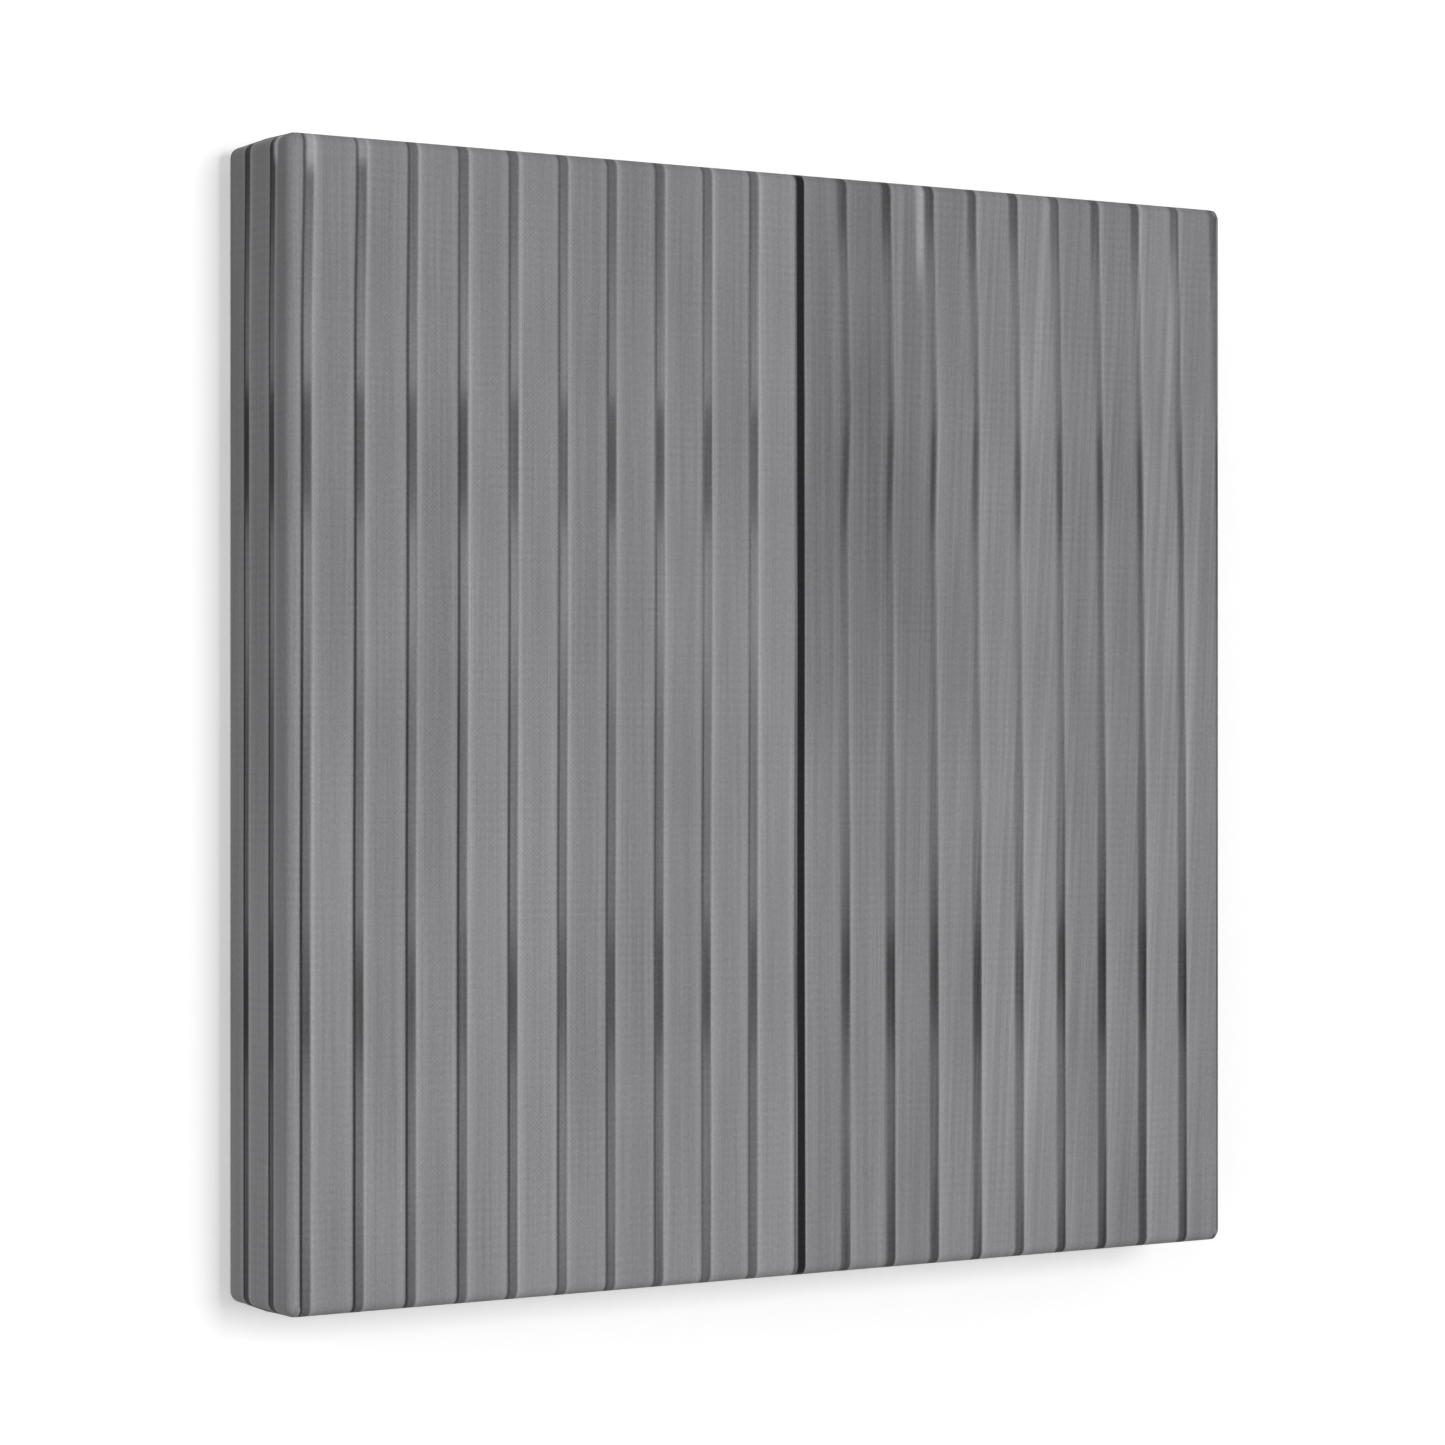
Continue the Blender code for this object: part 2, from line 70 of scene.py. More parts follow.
ROOT_BODY = "frame"
SIDES = ("top", "right", "bottom", "left")
LEVEL_SIDES = ("top", "bottom")
HANDS = ("left", "right")
MM = 0.001
FULL_TURN = 2 * math.pi
QUARTER = math.pi / 2

# Bright worn ends of the print at the top edge: place from the left, length and level
TICKS = (
    (-6.6 * MM, 8 * MM, 0.15),
    (5.0 * MM, 11 * MM, 0.13),
    (17.4 * MM, 8 * MM, 0.07),
    (163.4 * MM, 30 * MM, 0.14),
)
TICK_WIDTH = 1.2 * MM
TICK_CLEARS = 0.85

# Shift of the grooves to the left: millimetres from the left edge and share of the reach
DRIFT_CURVE = (
    (0, 0.97), (17, 0.80), (30, 0.67), (55, 0.50), (80, 0.49), (104, 0.40), (130, 0.38), (139, 0.16),
    (155, 0.06), (180, 0.18), (205, 0.40), (230, 0.70), (254, 0.90),
)
DRIFT_REACH = 1.5 * MM
DRIFT_START = -1.0 * MM

# Curves down the print: millimetres from the top edge and share of the full level
LEAN_CURVE = (
    (0, 0.79), (12, 0.79), (27, 0.48), (42, 0.42), (52, 0.21), (58, 0.23), (72, 0.40), (86, 0.50),
    (96, 0.45), (125, 0.25), (150, 0.0),
)
LEAN_REACH = 2.0 * MM
LEFT_DASHES = (
    (0, 0.55), (20, 0.40), (40, 0.10), (52, 0.10), (58, 0.85), (76, 0.78), (86, 0.06), (105, 0.02),
    (125, 0.46), (168, 0.46), (178, 1.0), (194, 1.0), (206, 0.46), (230, 0.46), (254, 0.75),
)
RIGHT_DASHES = (
    (0, 0.60), (9, 0.49), (16, 0.28), (24, 0.15), (45, 0.28), (55, 0.34), (61, 0.69), (76, 0.60),
    (88, 0.20), (120, 0.20), (150, 0.31), (172, 0.57), (182, 1.0), (196, 0.87), (208, 0.45), (232, 0.48),
    (254, 0.83),
)

# Sections across a groove: millimetres from its right edge and share of the full level
LINE = ((-2.15, 0), (-1.85, 0.8), (-1.7, 1), (-1.5, 1), (-1.1, 0))
FLOOR = ((-2.1, 0), (-1.7, 0.9), (-1.2, 1), (0.2, 1), (0.45, 0.6), (0.65, 0))
LIP = ((0.5, 0), (0.8, 0.8), (1.0, 1), (1.3, 0.75), (2.0, 0.25), (3.4, 0))
BROW = ((-4.6, 0), (-3.2, 0.75), (-2.6, 1), (-2.15, 0))
THIN_FLOOR = ((-1.8, 0), (-1.1, 0.6), (-0.6, 1), (0.05, 1), (0.4, 0.6), (0.75, 0))
WIDE_FLOOR = (
    (-2.3, 0), (-1.8, 0.5), (-1.4, 0.8), (-0.6, 0.85), (-0.2, 1), (0.4, 1), (0.7, 0.15), (0.8, 0),
)
SOFT_LIP = ((0.7, 0), (0.95, 0.8), (1.25, 1), (1.7, 0.6), (2.6, 0.25), (3.8, 0))

BOARD_SEED = 19516.0
GAP_TONE = 0.105
COOL_TINT = (0.995, 0.995, 1.03)
DISPLAY_GAMMA = 2.2

# Stage. The key lamp is three strips with one left edge, each with a width and a share of the power
KEY_LEFT = -0.20
KEY_STRIPS = ((0.60, 0.66), (0.30, 0.24), (0.16, 0.10))
KEY_HEIGHT = 0.53
KEY_DEPTH = -1.6
KEY_LEVEL = 0.28
FILL_PLACE, FILL_SIZE = (-1.2, -0.8, 0.45), (1.8, 1.8)
REAR_PLACE, REAR_SIZE = (0.5, 1.2, 0.9), (0.9, 0.9)
STAGE_REACH = 6.0
FLOOR_LEVEL = -0.35
WALL_GAP = 0.6 * MM

# Camera. The lens and the drop of the middle are in the photograph's own pixels
CAMERA_LEFT = -0.5071
CAMERA_FRONT = -0.8005
SENSOR_WIDTH = 36.0
PHOTO_SIZE = 1445
PHOTO_FOCAL = 4060.4
PHOTO_DROP = 2.33

SHEET_LOW, SHEET_HIGH = (np.array(corner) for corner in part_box("canvas"))
BACK_OF_ALL = CAD_BOX[1][1]
SHEET_WIDTH = float(SHEET_HIGH[0] - SHEET_LOW[0])
SHEET_HEIGHT = float(SHEET_HIGH[2] - SHEET_LOW[2])
SHEET_FRONT = float(SHEET_LOW[1])
SHEET_DEPTH = float(-2 * SHEET_FRONT)
SHEET_MIDDLE = SHEET_HEIGHT / 2


def number(name, description, default, **kind):
    """A number that a user may change, with its unit or subtype."""
    return bpy.props.FloatProperty(name=name, description=description, default=default, **kind)


def tint(name, description, default):
    """A colour that a user may change."""
    return bpy.props.FloatVectorProperty(name=name, description=description, default=default, subtype="COLOR")


class CanvasSettings(bpy.types.PropertyGroup):
    """Sizes and colours of the cloth and its printed stripe."""

    cloth: number("Cloth", "Thickness of the cotton", 0.5 * MM, unit="LENGTH")
    edge_radius: number("Edge radius", "Round of the wrapped edges", 2.5 * MM, unit="LENGTH")
    turn_print: number("Print at a turn", "Length of print taken by a wrapped edge", 4.75 * MM, unit="LENGTH")
    hem: number("Hem", "Width turned over the back", 20.0 * MM, unit="LENGTH")
    bleed: number("Bleed", "Print that runs past the back edge", 7.0 * MM, unit="LENGTH")
    slat_pitch: number("Slat pitch", "Width of one printed slat", 12.51 * MM, unit="LENGTH")
    first_groove: number("First groove", "Its right edge from the left edge", 4.83 * MM, unit="LENGTH")
    gap_place: number("Black gap", "Its distance from the left edge", 129.9 * MM, unit="LENGTH")
    thread_pitch: number("Thread pitch", "Spacing of two threads of the weave", 1.02 * MM, unit="LENGTH")
    slat_tone: number("Slat tone", "Display tone of the slats", 0.515, subtype="FACTOR")
    cotton: tint("Cotton", "Colour of the bare cloth", (0.68, 0.62, 0.50))
    primer: tint("Primer", "Colour of the coated margin", (0.78, 0.77, 0.74))


class FrameSettings(bpy.types.PropertyGroup):
    """Colours of the frame and its fittings."""

    pine_light: tint("Pine, early wood", "Pale part of a ring", (0.72, 0.52, 0.31))
    pine_dark: tint("Pine, late wood", "Dark part of a ring", (0.50, 0.29, 0.13))
    ring_pitch: number("Ring pitch", "Spacing of the growth rings", 3.2 * MM, unit="LENGTH")
    broken_edge: number("Broken edge", "Width taken off the sharp edges of wood", 0.35 * MM, unit="LENGTH")
    beech: tint("Beech", "Colour of the keys", (0.62, 0.42, 0.25))
    zinc: tint("Zinc", "Colour of the staples", (0.62, 0.62, 0.61))
    hanger: tint("Hanger", "Colour of hanger and nails", (0.62, 0.57, 0.47))
    rubber: tint("Rubber", "Colour of the bumpers", (0.035, 0.035, 0.037))


class StageSettings(bpy.types.PropertyGroup):
    """Camera, lamps and backdrop."""

    view_turn: number("View turn", "Camera's turn to the left", math.radians(31.93), subtype="ANGLE")
    key: number("Key", "Power of the key lamp", 13.1, unit="POWER")
    fill: number("Fill", "Power of the fill lamp", 10.05, unit="POWER")
    rear: number("Rear", "Power of the rear lamp", 9.0, unit="POWER")
    ambient: number("Ambient", "Strength of the surroundings", 0.30, subtype="FACTOR")
    wall_glow: number("Wall glow", "White seen by the camera", 0.208, subtype="FACTOR")
    wall_colour: number("Wall", "Reflectance of the wall", 0.98, subtype="FACTOR")
    floor_glow: number("Floor glow", "White seen by the camera", 0.82, subtype="FACTOR")
    floor_colour: number("Floor", "Reflectance of the floor", 0.4, subtype="FACTOR")


class Settings(bpy.types.PropertyGroup):
    """All settings of the dressed canvas."""

    canvas: bpy.props.PointerProperty(type=CanvasSettings)
    fittings: bpy.props.PointerProperty(type=FrameSettings)
    stage: bpy.props.PointerProperty(type=StageSettings)


class Graph:
    """Adds nodes to a new material, or to the world, and links them."""

    def __init__(self, name, owner=None, **sockets):
        self.owner = owner or bpy.data.materials.new(name)
        self.owner.use_nodes = True
        self.tree = self.owner.node_tree
        self.shader = self.tree.nodes["Background" if owner else "Principled BSDF"]
        for label, value in sockets.items():
            self.surface(label.replace("_", " "), value)

    def surface(self, label, value):
        """Link or set one input of the shader."""
        self.feed(self.shader.inputs[label], value)

    def feed(self, socket, value):
        """Link a socket to another, or set its value."""
        if isinstance(value, bpy.types.NodeSocket):
            self.tree.links.new(value, socket)
        else:
            socket.default_value = value

    def add(self, kind, inputs, **settings):
        """A new node with its settings and inputs."""
        made = self.tree.nodes.new("ShaderNode" + kind)
        for label, value in settings.items():
            setattr(made, label, value)
        for label, value in inputs.items():
            self.feed(made.inputs[label], value)
        return made

    def math(self, operation, first, second=0.0, third=0.0, clamp=False):
        """One step of arithmetic."""
        inputs = {0: first, 1: second, 2: third}
        return self.add("Math", inputs, operation=operation, use_clamp=clamp).outputs[0]

    def total(self, *terms):
        """Sum of several terms."""
        made = terms[0]
        for term in terms[1:]:
            made = self.math("ADD", made, term)
        return made

    def times(self, *factors):
        """Product of several factors."""
        made = factors[0]
        for factor in factors[1:]:
            made = self.math("MULTIPLY", made, factor)
        return made

    def scaled(self, value, factor, shift=0.0):
        """value * factor + shift"""
        return self.math("MULTIPLY_ADD", value, factor, shift)

    def centred(self, value, spread):
        """A number from 0 to 1 as a spread about zero."""
        return self.scaled(value, spread, -spread / 2)

    def smooth(self, value, low, high):
        """0 below low, 1 above high, and a smooth step between."""
        inputs = {"Value": value, "From Min": low, "From Max": high}
        return self.add("MapRange", inputs, interpolation_type="SMOOTHSTEP").outputs["Result"]

    def vector(self, x, y, z=0.0):
        """Three numbers as a vector."""
        return self.add("CombineXYZ", {"X": x, "Y": y, "Z": z}).outputs[0]

    def split(self, vector):
        """A vector's three numbers."""
        return self.add("SeparateXYZ", {"Vector": vector}).outputs

    def stretched(self, vector, scale):
        """A vector with each of its numbers scaled."""
        return self.add("Mapping", {"Vector": vector, "Scale": scale}).outputs[0]

    def noise(self, vector, scale=1.0, detail=2.0, rough=0.5, twist=0.0):
        """Smooth noise from 0 to 1."""
        inputs = {"Vector": vector, "Scale": scale, "Detail": detail, "Roughness": rough, "Distortion": twist}
        return self.add("TexNoise", inputs).outputs["Fac"]

    def grain(self, across, up, scales, detail=2.0, rough=0.5, twist=0.0, layer=0.0):
        """Noise on the flat cloth, with a scale across and a scale up."""
        place = self.vector(self.scaled(across, scales[0]), self.scaled(up, scales[1]), layer)
        return self.noise(place, 1.0, detail, rough, twist)

    def blend(self, share, first, second):
        """A blend of two numbers."""
        return self.add("Mix", {"Factor": share, "A": first, "B": second}).outputs["Result"]

    def ramp(self, value, stops, mode="B_SPLINE"):
        """A curve of grey through (place, level) stops."""
        made = self.add("ValToRGB", {"Fac": value})
        ramp = made.color_ramp
        ramp.interpolation = mode
        while len(ramp.elements) < len(stops):
            ramp.elements.new(1.0)
        for element, (place, level) in zip(ramp.elements, stops):
            element.position = place
            element.color = (level, level, level, 1.0)
        return made.outputs["Color"]

    def mix(self, share, first, second):
        """A blend of two colours."""
        made = self.add("Mix", {"Factor": share}, data_type="RGBA")
        colours = [socket for socket in made.inputs if socket.type == "RGBA"]
        self.feed(colours[0], first)
        self.feed(colours[1], second)
        return next(socket for socket in made.outputs if socket.type == "RGBA")

    def bump(self, height, distance, strength=1.0):
        """Relief on the shader's normal."""
        inputs = {"Height": height, "Distance": distance, "Strength": strength}
        self.surface("Normal", self.add("Bump", inputs).outputs["Normal"])

    def own(self):
        """The piece's own coordinates."""
        return self.add("TexCoord", {}).outputs["Object"]

    def seen(self):
        """1 on rays of the camera, of reflections and through glass, 0 on other light."""
        ray = self.add("LightPath", {}).outputs
        mirrored = self.math("MAXIMUM", ray["Is Glossy Ray"], ray["Is Transmission Ray"])
        return self.math("MAXIMUM", ray["Is Camera Ray"], mirrored)


def rgba(colour):
    """A colour property as four numbers."""
    return (*colour, 1.0)


def grid_faces(rows, columns, first=0):
    """Quads of a grid whose points are stored row by row."""
    row, column = np.meshgrid(np.arange(rows - 1), np.arange(columns - 1), indexing="ij")
    corner = (first + row * columns + column).ravel()
    return np.stack([corner, corner + 1, corner + columns + 1, corner + columns], axis=1)


def link(name, data):
    """A new object in the scene."""
    made = bpy.data.objects.new(name, data)
    bpy.context.scene.collection.objects.link(made)
    return made


def add_mesh(name, points, faces, flat=None, weld=1e-6):
    """A mesh object at the origin. flat gives each point's place on the uncut cloth, kept as a UV map."""
    mesh = bpy.data.meshes.new(name)
    mesh.from_pydata(points.tolist(), [], faces.tolist())
    if flat is not None:
        corners = np.empty(len(mesh.loops), np.int32)
        mesh.loops.foreach_get("vertex_index", corners)
        layer = mesh.uv_layers.new(name="flat")
        layer.data.foreach_set("uv", flat[corners].astype(np.float32).ravel())
    work = bmesh.new()
    work.from_mesh(mesh)
    bmesh.ops.remove_doubles(work, verts=work.verts, dist=weld)
    bmesh.ops.dissolve_degenerate(work, edges=work.edges, dist=weld)
    bmesh.ops.recalc_face_normals(work, faces=work.faces)
    work.to_mesh(mesh)
    work.free()
    mesh.shade_smooth()
    return link(name, mesh)


def add_grid(name, points, flat=None, sharp=None):
    """A mesh object of one grid of points. Edges above the angle sharp, in degrees, stay sharp."""
    rows, columns = points.shape[:2]
    made = add_mesh(name, points.reshape(-1, 3), grid_faces(rows, columns), flat)
    if sharp:
        made.data.set_sharp_from_angle(angle=math.radians(sharp))
    return made


def box_of(node):
    """A solid's low corner, high corner and centre."""
    low, high = (np.array(corner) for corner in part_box(node))
    return low, high, (low + high) / 2


def dress(piece, slot, node, *finishes):
    """Put a new piece on the frame, in place of its solid, and finish it. The slot is not used."""
    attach(piece, ROOT_BODY)
    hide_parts(node)
    for finish in finishes:
        piece.data.materials.append(finish)
    return piece


def paint(node, material):
    """Give a solid that stays its finish."""
    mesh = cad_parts[node].data
    mesh.materials.clear()
    mesh.materials.append(material)


def soften(node, width):
    """Break the sharp edges of a solid that stays."""
    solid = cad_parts[node]
    weld = solid.modifiers.new("weld", "WELD")
    weld.merge_threshold = 1e-6
    edges = solid.modifiers.new("edges", "BEVEL")
    edges.width = width
    edges.segments = 2
    edges.limit_method = "ANGLE"
    edges.angle_limit = math.radians(35)
    edges.use_clamp_overlap = False


def wrap_profile(settings, side_rows, hem_rows, arc_rows):
    """Path of the cloth from the front face to the end of the hem.

    It turns a quarter circle at the front edge, runs straight along the side, turns another quarter
    circle at the back edge and runs inwards. Returned for each row: how far it stands out from the
    inner rectangle, its depth, how far it has run back inwards, and the length of print used.
    """
    radius = settings.edge_radius
    turn = np.linspace(0, QUARTER, arc_rows)
    run = np.linspace(0, SHEET_DEPTH - 2 * radius, side_rows)[1:-1]
    tail = np.linspace(0, settings.hem - radius, hem_rows)[1:]
    out = np.concatenate([radius * np.sin(turn), np.full(run.size, radius), radius * np.cos(turn), 0 * tail])
    depth = np.concatenate(
        [
            SHEET_FRONT + radius * (1 - np.cos(turn)),
            SHEET_FRONT + radius + run,
            -SHEET_FRONT - radius * (1 - np.sin(turn)),
            np.full(tail.size, -SHEET_FRONT),
        ]
    )
    inward = np.concatenate([0 * turn, 0 * run, 0 * turn, tail])
    bend = settings.turn_print
    arc = bend * turn / QUARTER
    side_end = bend + SHEET_DEPTH - 2 * radius
    used = np.concatenate([arc, bend + run, side_end + arc, side_end + bend + tail])
    return out, depth, inward, used


def strip_points(base, direction, profile, half):
    """A strip of wrapped cloth: the profile carried along one stretch of the rim.

    point = base * (1 - inward / half) + out * direction, at the profile's depth.
    """
    out, depth, inward = profile[:3]
    shrink = 1 - inward[:, None, None] / half
    flat = base[None] * shrink + out[:, None, None] * direction[None]
    level = np.broadcast_to(depth[:, None], flat.shape[:2])
    return np.stack([flat[..., 0], level, flat[..., 1] + SHEET_MIDDLE], axis=-1)


def hem_lift(along, inward, span):
    """Slack of the hem between staples: the raw edge lifts most half way between two of them.

    It fades out by a smooth step before the corner folds, which hold the hem flat.
    """
    most = 0.45 * MM
    staple_gaps = 5
    fold_start, fold_ease = 0.62, 0.14
    near_fold = np.clip((2 * np.abs(along) / span - fold_start) / fold_ease, 0, 1)
    held_flat = near_fold ** 2 * (3 - 2 * near_fold)
    wave = 0.5 - 0.5 * np.cos(FULL_TURN * (along * staple_gaps / span + 0.5))
    uneven = 0.6 + 0.4 * np.sin(37.0 / 6.0 * FULL_TURN * along / span + 1.3)
    return most * wave * uneven * (1 - held_flat) * (inward / inward.max()) ** 2


def build_sheet(settings):
    """The stretched sheet: a flat front grid and four wrapped strips, welded at their seams."""
    cells = 48
    corner_steps = 6
    profile = wrap_profile(settings, side_rows=10, hem_rows=9, arc_rows=7)
    inward, used = profile[2:]
    half = np.array([SHEET_WIDTH, SHEET_HEIGHT]) / 2 - settings.edge_radius
    spread = np.linspace(-1, 1, cells + 1)
    across, up = np.meshgrid(spread * half[0], spread * half[1])
    front = np.stack([across, np.full_like(across, SHEET_FRONT), up + SHEET_MIDDLE], axis=-1)
    points = [front.reshape(-1, 3)]
    flats = [np.stack([across, up], axis=-1).reshape(-1, 2)]
    faces = [grid_faces(cells + 1, cells + 1)]
    count = (cells + 1) ** 2
    turn = np.linspace(0, QUARTER, corner_steps + 1)[1:]
    shrink = 1 - inward[:, None, None] / half
    keep_level = np.where([True, False], shrink, 1.0)
    keep_side = np.where([False, True], shrink, 1.0)
    for sign in (-1, 1):
        level_base = np.stack([spread * half[0], np.full(cells + 1, sign * half[1])], axis=-1)
        level_way = np.broadcast_to((0.0, sign), level_base.shape)
        level_flat = level_base[None] * keep_level + used[:, None, None] * level_way[None]
        ends = np.concatenate([np.full(corner_steps, -1.0), spread, np.full(corner_steps, 1.0)])
        tilt = np.concatenate([-turn[::-1], 0 * spread, turn])
        side_base = np.stack([np.full(ends.size, sign * half[0]), ends * half[1]], axis=-1)
        side_way = np.stack([sign * np.cos(tilt), np.sin(tilt)], axis=-1)
        round_end = np.stack([0 * tilt, settings.edge_radius * tilt], axis=-1)
        plain_way = np.broadcast_to((float(sign), 0.0), side_base.shape)
        side_flat = side_base[None] * keep_side + round_end[None] + used[:, None, None] * plain_way[None]
        for base, way, flat in ((level_base, level_way, level_flat), (side_base, side_way, side_flat)):
            grid = strip_points(base, way, profile, half)
            along = base @ np.abs(way[len(way) // 2])[::-1]
            grid[..., 1] += hem_lift(along[None], inward[:, None], 2 * half[0])
            rows, columns = grid.shape[:2]
            points.append(grid.reshape(-1, 3))
            flats.append(flat.reshape(-1, 2))
            faces.append(grid_faces(rows, columns, count))
            count += rows * columns
    sheet = add_mesh("canvas_sheet", np.concatenate(points), np.concatenate(faces), np.concatenate(flats))
    shell = sheet.modifiers.new("cloth", "SOLIDIFY")
    shell.thickness = settings.cloth
    shell.offset = -1.0
    shell.use_even_offset = True
    shell.material_offset = 1
    shell.material_offset_rim = 1
    return sheet


def build_fold(settings, name, across, up):
    """One corner fold: the end of the level strip, folded under and laid over the upright strip.

    Rows follow the wrap's path from the front edge to the end of the hem. Each row runs from the
    plain strip to the folded end, lifting by a smooth step and closing down with a quarter round.
    The folded end draws away from the corner along the side and runs at 45 degrees on the hem.
    """
    lift_top = 0.55 * MM
    sunk = 0.06 * MM
    width = 20.0 * MM
    set_back = 2.2 * MM
    closed_depth, open_depth = 4 * MM, 12 * MM
    out, depth, inward, used = wrap_profile(settings, side_rows=14, hem_rows=12, arc_rows=9)
    rise = np.gradient(depth)
    fall = np.gradient(out - inward)
    length = np.hypot(rise, fall)
    normal_y = -fall / length
    normal_z = rise / length
    side_share = np.clip((depth - SHEET_FRONT) / SHEET_DEPTH, 0, 1)
    end = SHEET_WIDTH / 2 - 0.6 * settings.edge_radius - set_back * side_share - inward
    step = np.linspace(0, 1, 18)
    roll = np.linspace(0, QUARTER, 6)[1:]
    bulk = np.concatenate([step ** 2 * (3 - 2 * step), np.cos(roll)])
    start = np.clip(end - width, 0, None)
    reach = end - start
    open_share = np.clip((depth - SHEET_FRONT - closed_depth) / open_depth, 0, 1)
    rise_share = (0.35 + 0.65 * open_share) * np.sqrt(open_share)
    lift = lift_top * rise_share[:, None] * bulk[None] - sunk
    run = start[:, None] + reach[:, None] * step[None]
    tail = end[:, None] + 0.7 * lift_top * np.sin(roll)[None] * open_share[:, None]
    x = across * np.concatenate([run, tail], axis=1)
    half = SHEET_HEIGHT / 2 - settings.edge_radius
    z = up * ((half + out - inward)[:, None] + lift * normal_z[:, None]) + SHEET_MIDDLE
    y = depth[:, None] + lift * normal_y[:, None]
    points = np.stack([x, y, z], axis=-1)
    flat = np.stack([x, np.broadcast_to(up * (half + used)[:, None], x.shape)], axis=-1)
    fold = add_grid(name, points, flat.reshape(-1, 2))
    if across * up > 0:
        fold.data.flip_normals()
    return fold


def flat_place(graph):
    """Place on the uncut cloth, in metres from its middle."""
    return graph.split(graph.add("UVMap", {}, uv_map="flat").outputs["UV"])[:2]


class SlatPrint(Graph):
    """The printed cotton's material, with the display tone of its slats.

    A slat is an even tone with brushed streaks. On the left half a groove is a thin dark line, a dim
    floor and a bright lip; on the right half it is a soft dark floor and a fainter lip. Both darken
    into dashes and fade along their height, and lean a little. One groove is a black gap.
    """

    def __init__(self, settings, **sockets):
        super().__init__("printed_cotton", **sockets)
        self.settings = settings
        self.u, self.v = flat_place(self)
        self.place = self.total(self.u, SHEET_WIDTH / 2)
        self.from_top = self.scaled(self.v, -1.0, SHEET_HEIGHT / 2)
        self.down = self.math("MULTIPLY", self.from_top, 1 / SHEET_HEIGHT, clamp=True)
        self.right = self.smooth(self.place, settings.gap_place, settings.gap_place + 1 * MM)
        self.round_the_side = self.beside(0, -4)
        self.below_top = self.below(10, 32)
        shade_place = 147 * MM
        from_shade = self.math("ABSOLUTE", self.scaled(self.place, 1.0, -shade_place))
        shade_width = self.smooth(from_shade, 30 * MM, 5 * MM)
        self.shade = self.times(shade_width, self.below(150, 70), self.below(-60, 70))
        pitch = settings.slat_pitch
        phase = self.scaled(self.shifted_place(), 1 / pitch, 0.5 - settings.first_groove / pitch)
        self.share = self.math("FRACT", phase)
        self.board = self.math("FLOOR", self.math("SUBTRACT", phase, 0.5))
        groove = self.math("FLOOR", phase)
        self.wear = self.scaled(self.grain(groove, self.v, (3.7, 26.0)), 0.9, 0.57)

    def beside(self, low, high):
        """A smooth step across the width, in millimetres from the left edge."""
        return self.smooth(self.place, low * MM, high * MM)

    def below(self, low, high):
        """A smooth step down the height, in millimetres from the top edge."""
        return self.smooth(self.from_top, low * MM, high * MM)

    def across(self, section):
        """A section across the groove, in millimetres from the groove's right edge."""
        pitch = self.settings.slat_pitch
        stops = [(0.5 + away * MM / pitch, level) for away, level in section]
        return self.ramp(self.share, stops, "LINEAR")

    def along(self, curve):
        """A curve down the groove, in millimetres from the top edge."""
        return self.ramp(self.down, [(away * MM / SHEET_HEIGHT, level) for away, level in curve])

    def shifted_place(self):
        """Place across an even print: the cloth's drift, the grooves' wander and their lean are taken off."""
        spread = self.math("MULTIPLY", self.place, 1 / SHEET_WIDTH, clamp=True)
        drift_stops = [(away * MM / SHEET_WIDTH, level) for away, level in DRIFT_CURVE]
        drift = self.scaled(self.ramp(spread, drift_stops, "LINEAR"), DRIFT_REACH, DRIFT_START)
        wander = self.centred(self.noise(self.vector(0.0, self.scaled(self.v, 9.0)), 1.0, 1.0), 0.5 * MM)
        self.drifted = self.total(self.place, wander, drift)
        upper_left = self.times(self.below(45, 5), self.beside(50, 10))
        lean_left = self.scaled(upper_left, -0.5 * MM, self.scaled(self.down, 0.35 * MM, -0.20 * MM))
        fan = self.times(self.scaled(self.place, 0.016, -2.7 * MM), self.below(85, 50))
        lean_right = self.scaled(self.along(LEAN_CURVE), LEAN_REACH, fan)
        return self.total(self.drifted, self.blend(self.right, lean_left, lean_right))

    def left_groove(self):
        """Dark and light of a groove on the left half."""
        line_least, line_more, line_on_floor = 0.16, 0.07, 0.035
        floor_level = 0.195
        line = self.across(LINE)
        line_depth = self.scaled(self.below(105, 128), line_more, line_least)
        dashes = self.times(self.across(FLOOR), self.along(LEFT_DASHES), self.wear, floor_level)
        dark = self.math("MAXIMUM", self.times(line, line_depth), self.scaled(line, line_on_floor, dashes))
        end_dark = self.scaled(self.below(34, 8), 0.5, 1.0)
        dark = self.times(dark, self.scaled(self.round_the_side, end_dark, 1.0))
        front_left = self.times(self.beside(70, 16), self.scaled(self.round_the_side, -1.0, 1.0))
        by_gap = self.times(self.beside(82, 102), self.below_top)
        more_at_left = self.scaled(self.below(32, 60), 0.055, 0.045)
        deeper = self.scaled(front_left, more_at_left, self.scaled(by_gap, -0.055))
        dark = self.scaled(line, deeper, dark)
        lip = self.times(self.across(LIP), self.scaled(self.down, -0.03, 0.10))
        return dark, self.scaled(self.across(BROW), 0.03, lip)

    def right_groove(self):
        """Dark and light of a groove on the right half."""
        floor_level, lip_level, brow_level = 0.30, 0.060, 0.014
        broad = self.math("MAXIMUM", self.below(110, 155), self.below(34, 14))
        floor = self.blend(broad, self.across(THIN_FLOOR), self.across(WIDE_FLOOR))
        at_edge = self.scaled(self.beside(246, 252), 0.07)
        far_right = self.scaled(self.beside(185, 245), 0.065, at_edge)
        extra = self.times(far_right, self.below(62, 95), self.beside(262, 255))
        depth = self.scaled(self.along(RIGHT_DASHES), self.scaled(self.wear, floor_level), extra)
        fainter = self.scaled(self.times(self.shade, self.below_top), -0.32, 1.0)
        brow = self.scaled(self.across(BROW), brow_level)
        return self.times(floor, depth, fainter), self.scaled(self.across(SOFT_LIP), lip_level, brow)

